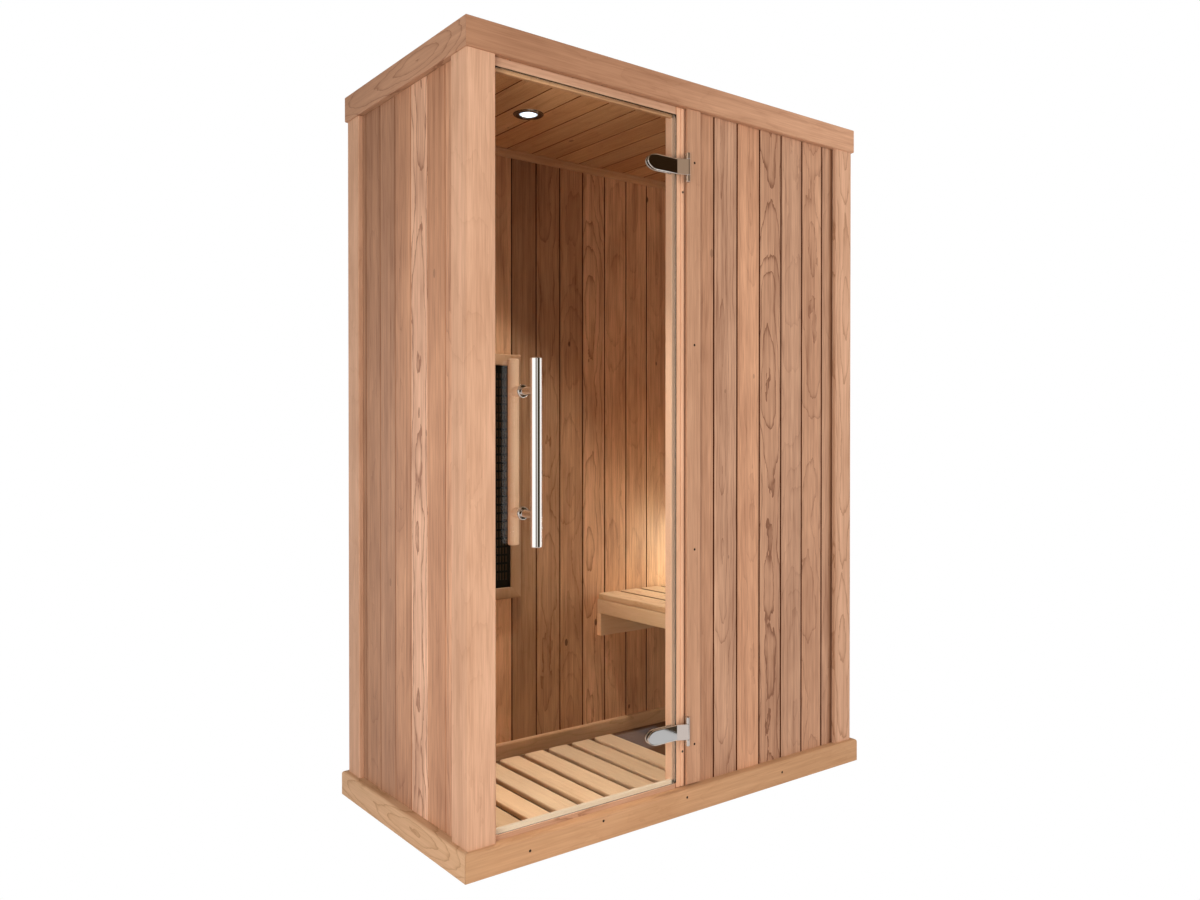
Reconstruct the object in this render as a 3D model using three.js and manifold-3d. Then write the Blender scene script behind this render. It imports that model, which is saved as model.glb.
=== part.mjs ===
// Infrared sauna cabin for one bather: a boarded cedar cabin with a hinged glass door, a slatted
// bench, a wall heater and a loose duckboard.
// Millimetres, +Z up. The origin is on the floor at the middle of the cabin body, and the door
// is in the front wall, which faces -Y. The bench is at the +X end.

import * as THREE from 'three';
import { mergeVertices } from 'three/addons/utils/BufferGeometryUtils.js';
import Module from 'manifold-3d';

// Overall size: the plinth sets the footprint, the fascia sets the height
const cabinWidth = 1380;
const cabinDepth = 700;
const cabinHeight = 1950;
const fit = 0.3; // clearance between pieces that meet

// Base and roof edge boards
const plinthHeight = 66;
const plinthProud = 14; // beyond the corner posts
const plinthEase = 9; // rounding of its upper outer edge
const fasciaHeight = 70;
const fasciaProud = 5;
const fasciaEase = 4; // rounding of its lower outer edge
const floorThickness = 20;
const ceilingThickness = 10;
const roofThickness = 12;

// Walls, counted inwards from the outer face of the corner posts
const postFace = 75; // width of each visible post face
const postEase = 5;
const claddingRecess = 12;
const claddingThickness = 10;
const coreThickness = 15;
const liningThickness = 10;

// Tongue-and-groove boards
const boardPitch = 90;
const grooveWidth = 4;
const grooveDepth = 2.5;
const frontFirstBoard = 56; // board strip that shows between the casing and the first groove
const sideFirstBoard = 22.7; // board strip beside the post where a run of side boards starts
const rearFirstBoard = 19.7; // the same at the left end of the rear lining

// Door frame
const doorwayWidth = 563; // from the front left post to the hinge jamb
const jambWidth = 32.5;
const headHeight = 21;
const thresholdRise = 8; // above the plinth
const stopWidth = 10; // lip that the closed glass rests against
const stopThickness = 10;
const casingWidth = 50;
const casingThickness = 8;
const casingLift = 4; // its lower end hangs above the plinth

// Glass door
const glassThickness = 8;
const glassSetback = 10; // its outer face, behind the post faces
const glassCorner = 12;
const doorGap = 3; // at the sides, at the top and behind the glass
const sillGap = 6; // under the glass

// Hinges
const pinDiameter = 6;
const pinPlay = 0.05; // radial running clearance in the knuckles
const barrelDiameter = 12.5;
const barrelClearance = 0.5; // between a barrel and the casing
const leafHeight = 42;
const leafLength = 132; // from the pin axis to the rounded tip
const leafThickness = 5;
const leafTip = 34; // length of the rounded tip
const leafBend = 26; // where the leaf turns outwards to its knuckle
const bracketHeight = 77;
const bracketThickness = 3;
const bracketDepth = 30;
const hingeInset = 136; // from each end of the glass to the middle of a hinge
const clampScrewDiameter = 8;
const clampScrewPitch = 44;
const glassHolePlay = 1.5; // radial play of a screw in its hole in the glass

// Handle outside and grip inside
const handleDiameter = 28;
const handleLength = 438;
const handleReach = 59; // from the glass to the middle of the bar
const handleHeight = 967; // of its middle, above the floor
const handleInset = 75; // from the free edge of the glass
const handlePostPitch = 287;
const handlePostDiameter = 20;
const rosetteDiameter = 32;
const rosetteThickness = 6;
const handleBoltDiameter = 10;
const handleBoltLength = 12; // past the inner face of the glass
const gripDiameter = 27;
const gripLength = 444;
const gripSpacerDiameter = 24;
const gripSpacerLength = 20;

// Bench
const benchHeight = 491;
const benchSlatCount = 5;
const benchSlatWidth = 82.5;
const benchSlatGap = 7;
const benchSlatThickness = 20;
const benchSlatEase = 4;
const benchBackGap = 29; // between the last slat and the end wall
const benchSideGap = 2; // between the slat ends and the walls
const apronHeight = 46;
const apronThickness = 20;
const ledgerHeight = 118;
const ledgerThickness = 20;

// Duckboard
const duckSlatCount = 9;
const duckSlatWidth = 69;
const duckSlatThickness = 14;
const duckSlatCorner = 9;
const duckBearerWidth = 40;
const duckBearerHeight = 12;
const duckBearerInset = 60; // from the slat ends
const duckFrontGap = 24; // to the threshold
const duckRearGap = 62; // to the rear skirting
const duckSideGap = 4;
const duckBenchGap = 3; // to the line of the bench front

// Mouldings
const skirtingHeight = 47;
const skirtingThickness = 13;
const coveHeight = 22;
const coveThickness = 17;

// Wall heater
const heaterWidth = 360;
const heaterHeight = 743;
const heaterBottom = 511;
const heaterFromLeft = 118; // from the left lining
const heaterBorder = 34;
const heaterDepth = 25;
const grilleSetback = 7;
const grilleThickness = 2;
const grilleColumns = 8;
const grilleRows = 9;
const grilleMargin = 18;
const grilleBar = 8;
const emitterGap = 5; // behind the grille
const emitterThickness = 6;

// Lamps
const downlightFromLeft = 315;
const downlightFromRear = 318;
const downlightDiameter = 84;
const downlightRim = 4; // below the ceiling
const downlightCanDiameter = 64;
const downlightCanHeight = 34; // above the ceiling face
const lensDiameter = 50;
const lensThickness = 4;
const cornerLampHeight = 190;
const cornerLampWidth = 26;
const cornerLampDepth = 14;
const cornerLampLift = 14; // above the bench
const cornerLampFromRear = 50;

// Controls and supply
const controlWidth = 150;
const controlHeight = 95;
const controlDepth = 16;
const controlWindowBorder = 12;
const controlWindowDepth = 2;
const controlFromCasing = 150; // from the hinge casing to the panel's edge
const controlBottom = 1120;
const powerUnitWidth = 260;
const powerUnitDepth = 150;
const powerUnitHeight = 34;
const powerUnitFromRight = 180; // from the right fascia
const glandDiameter = 20;
const glandLength = 18;

// Facets
const arcSegments = 4; // on an eased edge
const roundSegments = 24;

// Planes that several pieces share
const bodyHalfWidth = cabinWidth / 2 - plinthProud;
const bodyHalfDepth = cabinDepth / 2 - plinthProud;
const roofBase = cabinHeight - fasciaHeight;
const wallTop = roofBase - fit;
const wallBase = floorThickness + fit;
const wallHeight = wallTop - wallBase;
const legThickness = claddingRecess + claddingThickness + coreThickness;
const wallThickness = legThickness + liningThickness;
const roomHalfWidth = bodyHalfWidth - wallThickness;
const roomHalfDepth = bodyHalfDepth - wallThickness;
const panelHalfWidth = bodyHalfWidth - postFace; // between the posts
const panelHalfDepth = bodyHalfDepth - postFace;
const ringHalfWidth = bodyHalfWidth - claddingRecess; // inside the plinth and the fascia
const ringHalfDepth = bodyHalfDepth - claddingRecess;
const frameFace = -ringHalfDepth + fit; // front face of the door frame
const jambLeft = -panelHalfWidth + doorwayWidth;
const jambRight = jambLeft + jambWidth;
const panelLeft = jambRight + bracketThickness + 2 * fit;
const headBottom = roofBase - headHeight;
const thresholdTop = plinthHeight + thresholdRise;
const glassFront = -bodyHalfDepth + glassSetback;
const glassBack = glassFront + glassThickness;
const stopFront = glassBack + doorGap;
const stopBack = stopFront + stopThickness;
const glassLeft = -panelHalfWidth + doorGap;
const glassRight = jambLeft - doorGap;
const glassBottom = thresholdTop + sillGap;
const glassTop = headBottom - doorGap;
const casingFront = -ringHalfDepth - casingThickness;
const barrelRadius = barrelDiameter / 2;
const hingeX = jambRight + fit + bracketThickness - barrelRadius;
const hingeY = casingFront - barrelClearance - barrelRadius;
const hingeHeights = { lower: glassBottom + hingeInset, upper: glassTop - hingeInset };
const benchDepth = benchSlatCount * (benchSlatWidth + benchSlatGap) - benchSlatGap + benchBackGap;
const benchFront = roomHalfWidth - benchDepth;
const slatBase = benchHeight - benchSlatThickness;

const wasm = await Module();
wasm.setup();

function finish(color, roughness, metalness = 0) {
  return () => new THREE.MeshStandardMaterial({ color, roughness, metalness });
}

const cedarFrame = finish(0xd6a27e, 0.62);
const cedarBoard = finish(0xc08a66, 0.64);
const cedarLining = finish(0xa97450, 0.66);
const paleSlat = finish(0xdcb88c, 0.62);
const sheetWood = finish(0xc9b28e, 0.75);
const coreBoard = finish(0xb9a77f, 0.85);
const chrome = finish(0xd8d8da, 0.08, 1);
const blackSteel = finish(0x141312, 0.5, 0.6);
const emitterFinish = finish(0x3a1d12, 0.7);
const darkChrome = finish(0x6b6866, 0.2, 1);
const lampLens = finish(0xfdfbf4, 0.3);
const blackPlastic = finish(0x1d1d1f, 0.45);
const greyMetal = finish(0x9a9c9e, 0.45, 0.7);

function clearGlass() {
  const color = 0xe6f0ec;
  return new THREE.MeshStandardMaterial({ color, roughness: 0.03, transparent: true, opacity: 0.25 });
}

function addPiece(parent, name, geometry, makeMaterial) {
  const mesh = new THREE.Mesh(geometry, makeMaterial());
  mesh.name = name;
  parent.add(mesh);
  return mesh;
}

function solidOf(geometry) {
  const bare = geometry.clone();
  bare.deleteAttribute('normal');
  bare.deleteAttribute('uv');
  const merged = mergeVertices(bare, 1e-4);
  const mesh = new wasm.Mesh({
    numProp: 3,
    vertProperties: new Float32Array(merged.attributes.position.array),
    triVerts: new Uint32Array(merged.index.array),
  });
  return new wasm.Manifold(mesh);
}

function geometryOf(solid) {
  const mesh = solid.getMesh();
  const geometry = new THREE.BufferGeometry();
  geometry.setAttribute('position', new THREE.BufferAttribute(mesh.vertProperties, 3));
  geometry.setIndex(new THREE.BufferAttribute(mesh.triVerts, 1));
  geometry.computeVertexNormals();
  return geometry;
}

function join(first, ...others) {
  return geometryOf(others.reduce((sum, other) => sum.add(solidOf(other)), solidOf(first)));
}

function cut(first, ...tools) {
  return geometryOf(tools.reduce((rest, tool) => rest.subtract(solidOf(tool)), solidOf(first)));
}

function box(low, high) {
  const size = high.map((value, i) => value - low[i]);
  const middle = high.map((value, i) => (value + low[i]) / 2);
  return new THREE.BoxGeometry(...size).translate(...middle);
}

// A round bar between two heights, or along Y when laid down
function uprightRod(diameter, x, y, low, high, segments = roundSegments) {
  const rod = new THREE.CylinderGeometry(diameter / 2, diameter / 2, high - low, segments);
  return rod.rotateX(Math.PI / 2).translate(x, y, (low + high) / 2);
}

function levelRod(diameter, x, z, front, back, segments = roundSegments) {
  const rod = new THREE.CylinderGeometry(diameter / 2, diameter / 2, back - front, segments);
  return rod.translate(x, (front + back) / 2, z);
}

function outline(points) {
  return new THREE.Shape(points.map(([x, y]) => new THREE.Vector2(x, y)));
}

function extrudeUp(shape, low, high) {
  const options = { depth: high - low, bevelEnabled: false, curveSegments: arcSegments };
  return new THREE.ExtrudeGeometry(shape, options).translate(0, 0, low);
}

// An outline in X and Z carried from front to back
function extrudeBack(shape, front, back) {
  return extrudeUp(shape, 0, back - front).rotateX(Math.PI / 2).translate(0, back, 0);
}

// An outline in Y and Z carried from left to right
function extrudeAcross(shape, left, right) {
  const turn = new THREE.Matrix4().makeBasis(
    new THREE.Vector3(0, 1, 0),
    new THREE.Vector3(0, 0, 1),
    new THREE.Vector3(1, 0, 0),
  );
  return extrudeUp(shape, 0, right - left).applyMatrix4(turn).translate(left, 0, 0);
}

function roundedRectangle(left, bottom, right, top, radius) {
  const shape = new THREE.Shape();
  shape.moveTo(left + radius, bottom);
  shape.lineTo(right - radius, bottom);
  shape.absarc(right - radius, bottom + radius, radius, -Math.PI / 2, 0);
  shape.lineTo(right, top - radius);
  shape.absarc(right - radius, top - radius, radius, 0, Math.PI / 2);
  shape.lineTo(left + radius, top);
  shape.absarc(left + radius, top - radius, radius, Math.PI / 2, Math.PI);
  shape.lineTo(left, bottom + radius);
  shape.absarc(left + radius, bottom + radius, radius, Math.PI, Math.PI * 1.5);
  return shape;
}

function ring(shape, hole) {
  shape.holes.push(hole);
  return shape;
}

// A board with mitred ends, carried from a section of depth from its outer face and height.
// Locally X runs along the board and Y runs inwards.
function mitredBoard(section, outerLength) {
  const options = { depth: 1, bevelEnabled: false, curveSegments: arcSegments };
  const geometry = new THREE.ExtrudeGeometry(section, options);
  const point = geometry.attributes.position;
  for (let i = 0; i < point.count; i += 1) {
    const inset = point.getX(i);
    const height = point.getY(i);
    const end = point.getZ(i) > 0.5 ? 1 : -1;
    point.setXYZ(i, end * (outerLength / 2 - inset - fit), inset, height);
  }
  geometry.computeVertexNormals();
  return geometry;
}

// Four mitred boards round a rectangle
function addMitredRing(parent, names, section, halfWidth, halfDepth, base, material) {
  const sides = [
    { name: names.front, length: 2 * halfWidth, x: 0, y: -halfDepth, turn: 0 },
    { name: names.right, length: 2 * halfDepth, x: halfWidth, y: 0, turn: Math.PI / 2 },
    { name: names.rear, length: 2 * halfWidth, x: 0, y: halfDepth, turn: Math.PI },
    { name: names.left, length: 2 * halfDepth, x: -halfWidth, y: 0, turn: -Math.PI / 2 },
  ];
  for (const side of sides) {
    const board = addPiece(parent, side.name, mitredBoard(section, side.length), material);
    board.position.set(side.x, side.y, base);
    board.rotation.z = side.turn;
  }
}

// A run of tongue-and-groove boards standing on end. Locally X runs along the wall, the grooved
// face is at Y = 0 and looks along -Y.
function boardedPanel(length, thickness, height, firstBoard) {
  const points = [[0, 0]];
  for (let seam = firstBoard; seam < length - grooveWidth; seam += boardPitch) {
    if (seam > grooveWidth) {
      points.push([seam - grooveWidth / 2, 0], [seam, grooveDepth], [seam + grooveWidth / 2, 0]);
    }
  }
  points.push([length, 0], [length, thickness], [0, thickness]);
  return extrudeUp(outline(points), 0, height);
}

function addWallSkin(parent, name, panel, x, y, turn, material) {
  const skin = addPiece(parent, name, panel, material);
  skin.position.set(x, y, wallBase);
  skin.rotation.z = turn;
}

function buildBase() {
  const base = new THREE.Group();
  const thickness = plinthProud + claddingRecess;
  const section = new THREE.Shape();
  section.moveTo(0, 0);
  section.lineTo(thickness, 0);
  section.lineTo(thickness, plinthHeight);
  section.lineTo(plinthEase, plinthHeight);
  section.absarc(plinthEase, plinthHeight - plinthEase, plinthEase, Math.PI / 2, Math.PI);
  const names = {
    front: 'plinth_front',
    right: 'plinth_right',
    rear: 'plinth_rear',
    left: 'plinth_left',
  };
  addMitredRing(base, names, section, cabinWidth / 2, cabinDepth / 2, 0, paleSlat);
  const halfWidth = ringHalfWidth - fit;
  const halfDepth = ringHalfDepth - fit;
  const floor = box([-halfWidth, -halfDepth, 0], [halfWidth, halfDepth, floorThickness]);
  addPiece(base, 'floor_panel', floor, sheetWood);
  return base;
}

// An L-shaped corner post in its own quadrant, with the outer corner at the origin and the legs
// along +X and +Y; a stop lip for the glass is added where the door closes against the post
function postOutline(withStop) {
  const shape = new THREE.Shape();
  shape.moveTo(postEase, 0);
  shape.lineTo(postFace, 0);
  if (withStop) {
    const lipFront = stopFront + bodyHalfDepth;
    const lipBack = stopBack + bodyHalfDepth;
    shape.lineTo(postFace, lipFront);
    shape.lineTo(postFace + stopWidth, lipFront);
    shape.lineTo(postFace + stopWidth, lipBack);
    shape.lineTo(postFace, lipBack);
  }
  shape.lineTo(postFace, legThickness);
  shape.lineTo(legThickness, legThickness);
  shape.lineTo(legThickness, postFace);
  shape.lineTo(0, postFace);
  shape.lineTo(0, postEase);
  shape.absarc(postEase, postEase, postEase, Math.PI, Math.PI * 1.5);
  return shape;
}

// The foot of a post is cut back so that it stands behind the plinth
function postGeometry(withStop) {
  const reach = postFace + 2 * stopWidth;
  const plinthTop = plinthHeight + fit;
  const inside = claddingRecess + fit;
  const frontFoot = box([-1, -1, 0], [reach, inside, plinthTop]);
  const sideFoot = box([-1, -1, 0], [inside, reach, plinthTop]);
  return cut(extrudeUp(postOutline(withStop), wallBase, wallTop), frontFoot, sideFoot);
}

function buildPosts() {
  const posts = new THREE.Group();
  const corners = [
    { name: 'corner_post_front_left', x: -bodyHalfWidth, y: -bodyHalfDepth, turn: 0, withStop: true },
    { name: 'corner_post_front_right', x: bodyHalfWidth, y: -bodyHalfDepth, turn: Math.PI / 2 },
    { name: 'corner_post_rear_right', x: bodyHalfWidth, y: bodyHalfDepth, turn: Math.PI },
    { name: 'corner_post_rear_left', x: -bodyHalfWidth, y: bodyHalfDepth, turn: -Math.PI / 2 },
  ];
  for (const corner of corners) {
    const post = addPiece(posts, corner.name, postGeometry(corner.withStop), cedarFrame);
    post.position.set(corner.x, corner.y, 0);
    post.rotation.z = corner.turn;
  }
  return posts;
}

function buildWalls() {
  const walls = new THREE.Group();
  const sideRun = 2 * (panelHalfDepth - fit);
  const rearRun = 2 * (panelHalfWidth - fit);
  const frontRun = panelHalfWidth - fit - panelLeft;
  const claddingX = bodyHalfWidth - claddingRecess;
  const claddingY = bodyHalfDepth - claddingRecess;
  const quarter = Math.PI / 2;
  const frontStart = jambRight + casingWidth + frontFirstBoard - panelLeft;
  const skinOf = (run, first) => boardedPanel(run, claddingThickness - fit, wallHeight, first);
  const sideSkin = () => skinOf(sideRun, sideFirstBoard);
  addWallSkin(walls, 'cladding_left', sideSkin(), -claddingX, sideRun / 2, -quarter, cedarBoard);
  addWallSkin(walls, 'cladding_right', sideSkin(), claddingX, -sideRun / 2, quarter, cedarBoard);
  const rearSkin = skinOf(rearRun, sideFirstBoard);
  addWallSkin(walls, 'cladding_rear', rearSkin, rearRun / 2, claddingY, Math.PI, cedarBoard);
  const frontSkin = skinOf(frontRun, frontStart % boardPitch);
  addWallSkin(walls, 'cladding_front', frontSkin, panelLeft, -claddingY, 0, cedarBoard);

  const coreOuterX = claddingX - claddingThickness;
  const coreOuterY = claddingY - claddingThickness;
  const coreInnerX = coreOuterX - coreThickness + fit;
  const coreInnerY = coreOuterY - coreThickness + fit;
  const halfSide = sideRun / 2;
  const halfRear = rearRun / 2;
  const leftCore = box([-coreOuterX, -halfSide, wallBase], [-coreInnerX, halfSide, wallTop]);
  const rightCore = box([coreInnerX, -halfSide, wallBase], [coreOuterX, halfSide, wallTop]);
  const rearCore = box([-halfRear, coreInnerY, wallBase], [halfRear, coreOuterY, wallTop]);
  addPiece(walls, 'wall_core_left', leftCore, coreBoard);
  addPiece(walls, 'wall_core_right', rightCore, coreBoard);
  addPiece(walls, 'wall_core_rear', rearCore, coreBoard);

  const lining = (run, first) => boardedPanel(run, liningThickness - fit, wallHeight, first);
  const innerX = roomHalfWidth;
  const innerY = roomHalfDepth;
  const longRun = 2 * (bodyHalfWidth - legThickness - fit);
  const rightRun = 2 * (innerY - fit);
  const leftRun = rightRun + liningThickness;
  const frontLength = longRun / 2 - jambRight - fit;
  const leftStart = innerY - fit - leftRun;
  const rearLining = lining(longRun, rearFirstBoard);
  addWallSkin(walls, 'lining_rear', rearLining, -longRun / 2, innerY, 0, cedarLining);
  const leftLining = lining(leftRun, sideFirstBoard);
  addWallSkin(walls, 'lining_left', leftLining, -innerX, leftStart, quarter, cedarLining);
  const rightLining = lining(rightRun, sideFirstBoard);
  addWallSkin(walls, 'lining_right', rightLining, innerX, rightRun / 2, -quarter, cedarLining);
  const frontLining = lining(frontLength, sideFirstBoard);
  addWallSkin(walls, 'lining_front', frontLining, longRun / 2, -innerY, Math.PI, cedarLining);
  return walls;
}

function buildRoof() {
  const roof = new THREE.Group();
  const thickness = fasciaProud + claddingRecess;
  const section = new THREE.Shape();
  section.moveTo(0, fasciaEase);
  section.absarc(fasciaEase, fasciaEase, fasciaEase, Math.PI, Math.PI * 1.5);
  section.lineTo(thickness, 0);
  section.lineTo(thickness, fasciaHeight);
  section.lineTo(0, fasciaHeight);
  const names = {
    front: 'fascia_front',
    right: 'fascia_right',
    rear: 'fascia_rear',
    left: 'fascia_left',
  };
  const halfWidth = bodyHalfWidth + fasciaProud;
  const halfDepth = bodyHalfDepth + fasciaProud;
  addMitredRing(roof, names, section, halfWidth, halfDepth, roofBase, cedarFrame);

  const spanX = ringHalfWidth - fit;
  const spanY = ringHalfDepth - fit;
  const roofLow = roofBase + ceilingThickness + fit;
  const roofHigh = roofLow + roofThickness;
  const { x: lampX, y: lampY } = downlightCentre();
  const lampHole = uprightRod(downlightCanDiameter + 2 * fit, lampX, lampY, roofBase - 1, roofHigh + 1);
  const boards = boardedPanel(2 * spanX, ceilingThickness, 2 * spanY, rearFirstBoard);
  boards.rotateX(Math.PI / 2).translate(-spanX, spanY, roofBase);
  addPiece(roof, 'ceiling_boards', cut(boards, lampHole), cedarLining);
  const sheet = box([-spanX, -spanY, roofLow], [spanX, spanY, roofHigh]);
  addPiece(roof, 'roof_panel', cut(sheet, lampHole), sheetWood);

  const unitRight = spanX - powerUnitFromRight;
  const unitBase = roofHigh + fit;
  const halfUnit = powerUnitDepth / 2;
  const housing = box(
    [unitRight - powerUnitWidth, -halfUnit, unitBase],
    [unitRight, halfUnit, unitBase + powerUnitHeight],
  );
  const glandX = unitRight - powerUnitWidth / 2;
  const glandZ = unitBase + powerUnitHeight / 2;
  const gland = levelRod(glandDiameter, glandX, glandZ, halfUnit - fit, halfUnit + glandLength);
  addPiece(roof, 'power_unit', join(housing, gland), greyMetal);
  return roof;
}

function buildDoorFrame() {
  const frame = new THREE.Group();
  const inside = -roomHalfDepth - fit;
  const left = -panelHalfWidth + fit;
  const right = jambLeft - fit;
  const head = outline([
    [frameFace, headBottom],
    [stopFront, headBottom],
    [stopFront, headBottom - stopWidth],
    [stopBack, headBottom - stopWidth],
    [stopBack, headBottom],
    [inside, headBottom],
    [inside, wallTop],
    [frameFace, wallTop],
  ]);
  const stopReach = stopWidth + fit; // the side lips run full height, past the head and threshold
  const lipSlot = (low, high) => box([low, stopFront - fit, 0], [high, stopBack + fit, cabinHeight]);
  const lipSlots = [lipSlot(left - 1, left + stopReach), lipSlot(right - stopReach, right + 1)];
  addPiece(frame, 'door_head', cut(extrudeAcross(head, left, right), ...lipSlots), cedarFrame);

  const jamb = outline([
    [jambLeft, frameFace],
    [jambRight, frameFace],
    [jambRight, inside],
    [jambLeft, inside],
    [jambLeft, stopBack],
    [jambLeft - stopWidth, stopBack],
    [jambLeft - stopWidth, stopFront],
    [jambLeft, stopFront],
  ]);
  addPiece(frame, 'hinge_jamb', extrudeUp(jamb, wallBase, wallTop), cedarFrame);

  const sillStop = thresholdTop + sillGap + stopWidth;
  const sill = outline([
    [frameFace, wallBase],
    [inside, wallBase],
    [inside, thresholdTop],
    [stopBack, thresholdTop],
    [stopBack, sillStop],
    [stopFront, sillStop],
    [stopFront, thresholdTop],
    [frameFace, thresholdTop],
  ]);
  const threshold = cut(extrudeAcross(sill, left, right), ...lipSlots);
  addPiece(frame, 'threshold', threshold, paleSlat);

  const casingBottom = plinthHeight + casingLift;
  const casingLeft = jambRight + fit;
  const strip = box(
    [casingLeft, casingFront, casingBottom],
    [jambRight + casingWidth, -ringHalfDepth - fit, wallTop],
  );
  const mortises = Object.values(hingeHeights).map((height) => box(
    [casingLeft - 1, casingFront - 1, height - bracketHeight / 2 - fit],
    [panelLeft, -ringHalfDepth + 1, height + bracketHeight / 2 + fit],
  ));
  addPiece(frame, 'hinge_casing', cut(strip, ...mortises), cedarFrame);
  return frame;
}

function buildMouldings() {
  const mouldings = new THREE.Group();
  const halfWidth = roomHalfWidth - fit;
  const halfDepth = roomHalfDepth - fit;
  const t = skirtingThickness;
  const doorSide = jambRight; // the front run stops at the doorway
  const skirting = outline([
    [-halfWidth, -halfDepth],
    [-halfWidth + t, -halfDepth],
    [-halfWidth + t, halfDepth - t],
    [halfWidth - t, halfDepth - t],
    [halfWidth - t, -halfDepth + t],
    [doorSide, -halfDepth + t],
    [doorSide, -halfDepth],
    [halfWidth, -halfDepth],
    [halfWidth, halfDepth],
    [-halfWidth, halfDepth],
  ]);
  const skirtingTop = wallBase + skirtingHeight;
  addPiece(mouldings, 'skirting', extrudeUp(skirting, wallBase, skirtingTop), paleSlat);

  const rectangle = (w, d) => outline([[-w, -d], [w, -d], [w, d], [-w, d]]);
  const inner = rectangle(halfWidth - coveThickness, halfDepth - coveThickness);
  const cove = ring(rectangle(halfWidth, halfDepth), inner);
  addPiece(mouldings, 'ceiling_cove', extrudeUp(cove, wallTop - coveHeight, wallTop), cedarFrame);
  return mouldings;
}

function buildBench() {
  const bench = new THREE.Group();
  const apronBase = slatBase - apronHeight;
  const ledgerBase = slatBase - ledgerHeight;
  const notch = benchFront + apronThickness + fit;
  const wallEnd = roomHalfWidth - fit;
  const ledger = outline([
    [benchFront, ledgerBase],
    [wallEnd, ledgerBase],
    [wallEnd, slatBase - fit],
    [notch, slatBase - fit],
    [notch, apronBase - fit],
    [benchFront, apronBase - fit],
  ]);
  const outer = roomHalfDepth - fit;
  const inner = outer - ledgerThickness;
  addPiece(bench, 'bench_ledger_front', extrudeBack(ledger, -outer, -inner), cedarFrame);
  addPiece(bench, 'bench_ledger_rear', extrudeBack(ledger, inner, outer), cedarFrame);
  const apron = box([benchFront, -outer, apronBase], [benchFront + apronThickness, outer, slatBase - fit]);
  addPiece(bench, 'bench_apron', apron, cedarFrame);

  const slatEnd = roomHalfDepth - benchSideGap;
  for (let i = 0; i < benchSlatCount; i += 1) {
    const left = benchFront + i * (benchSlatWidth + benchSlatGap);
    const right = left + benchSlatWidth;
    const slat = new THREE.Shape();
    slat.moveTo(left, slatBase);
    slat.lineTo(right, slatBase);
    slat.lineTo(right, benchHeight - benchSlatEase);
    slat.absarc(right - benchSlatEase, benchHeight - benchSlatEase, benchSlatEase, 0, Math.PI / 2);
    slat.lineTo(left + benchSlatEase, benchHeight);
    slat.absarc(left + benchSlatEase, benchHeight - benchSlatEase, benchSlatEase, Math.PI / 2, Math.PI);
    addPiece(bench, `bench_slat_${i + 1}`, extrudeBack(slat, -slatEnd, slatEnd), paleSlat);
  }
  return bench;
}

function duckboardGeometry() {
  const left = -roomHalfWidth + skirtingThickness + duckSideGap;
  const right = benchFront - duckBenchGap;
  const front = -roomHalfDepth + duckFrontGap;
  const back = roomHalfDepth - skirtingThickness - duckRearGap;
  const bearerBase = floorThickness + fit;
  const slatLow = bearerBase + duckBearerHeight;
  const slatHigh = slatLow + duckSlatThickness;
  const pitch = (right - left - duckSlatWidth) / (duckSlatCount - 1);
  const pieces = [];
  for (let i = 0; i < duckSlatCount; i += 1) {
    const start = left + i * pitch;
    const slat = roundedRectangle(start, front, start + duckSlatWidth, back, duckSlatCorner);
    pieces.push(extrudeUp(slat, slatLow, slatHigh));
  }
  const sink = duckSlatThickness / 4; // the bearers are let into the slats
  for (const middle of [front + duckBearerInset, (front + back) / 2, back - duckBearerInset]) {
    const half = duckBearerWidth / 2;
    const low = [left + duckSlatCorner, middle - half, bearerBase];
    pieces.push(box(low, [right - duckSlatCorner, middle + half, slatLow + sink]));
  }
  return join(...pieces);
}

function buildHeater() {
  const heater = new THREE.Group();
  const left = -roomHalfWidth + heaterFromLeft;
  const right = left + heaterWidth;
  const top = heaterBottom + heaterHeight;
  const wall = roomHalfDepth - fit;
  const front = roomHalfDepth - heaterDepth;
  const rectangle = (inset) => outline([
    [left + inset, heaterBottom + inset],
    [right - inset, heaterBottom + inset],
    [right - inset, top - inset],
    [left + inset, top - inset],
  ]);
  const border = ring(rectangle(0), rectangle(heaterBorder));
  addPiece(heater, 'heater_frame', extrudeBack(border, front, wall), cedarFrame);

  const inset = heaterBorder + fit;
  const grilleFront = front + grilleSetback;
  const grilleBack = grilleFront + grilleThickness;
  const slotsLeft = left + inset + grilleMargin;
  const slotsBottom = heaterBottom + inset + grilleMargin;
  const pitchX = (heaterWidth - 2 * (inset + grilleMargin) + grilleBar) / grilleColumns;
  const pitchZ = (heaterHeight - 2 * (inset + grilleMargin) + grilleBar) / grilleRows;
  const slots = [];
  for (let column = 0; column < grilleColumns; column += 1) {
    for (let row = 0; row < grilleRows; row += 1) {
      const low = [slotsLeft + column * pitchX, grilleFront - 1, slotsBottom + row * pitchZ];
      const high = [low[0] + pitchX - grilleBar, grilleBack + 1, low[2] + pitchZ - grilleBar];
      slots.push(box(low, high));
    }
  }
  const sheet = extrudeBack(rectangle(inset), grilleFront, grilleBack);
  addPiece(heater, 'heater_grille', cut(sheet, ...slots), blackSteel);
  const emitterFront = grilleBack + emitterGap;
  const panel = extrudeBack(rectangle(inset), emitterFront, emitterFront + emitterThickness);
  addPiece(heater, 'heater_emitter', panel, emitterFinish);
  return heater;
}

function downlightCentre() {
  return { x: -roomHalfWidth + downlightFromLeft, y: roomHalfDepth - downlightFromRear };
}

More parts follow.
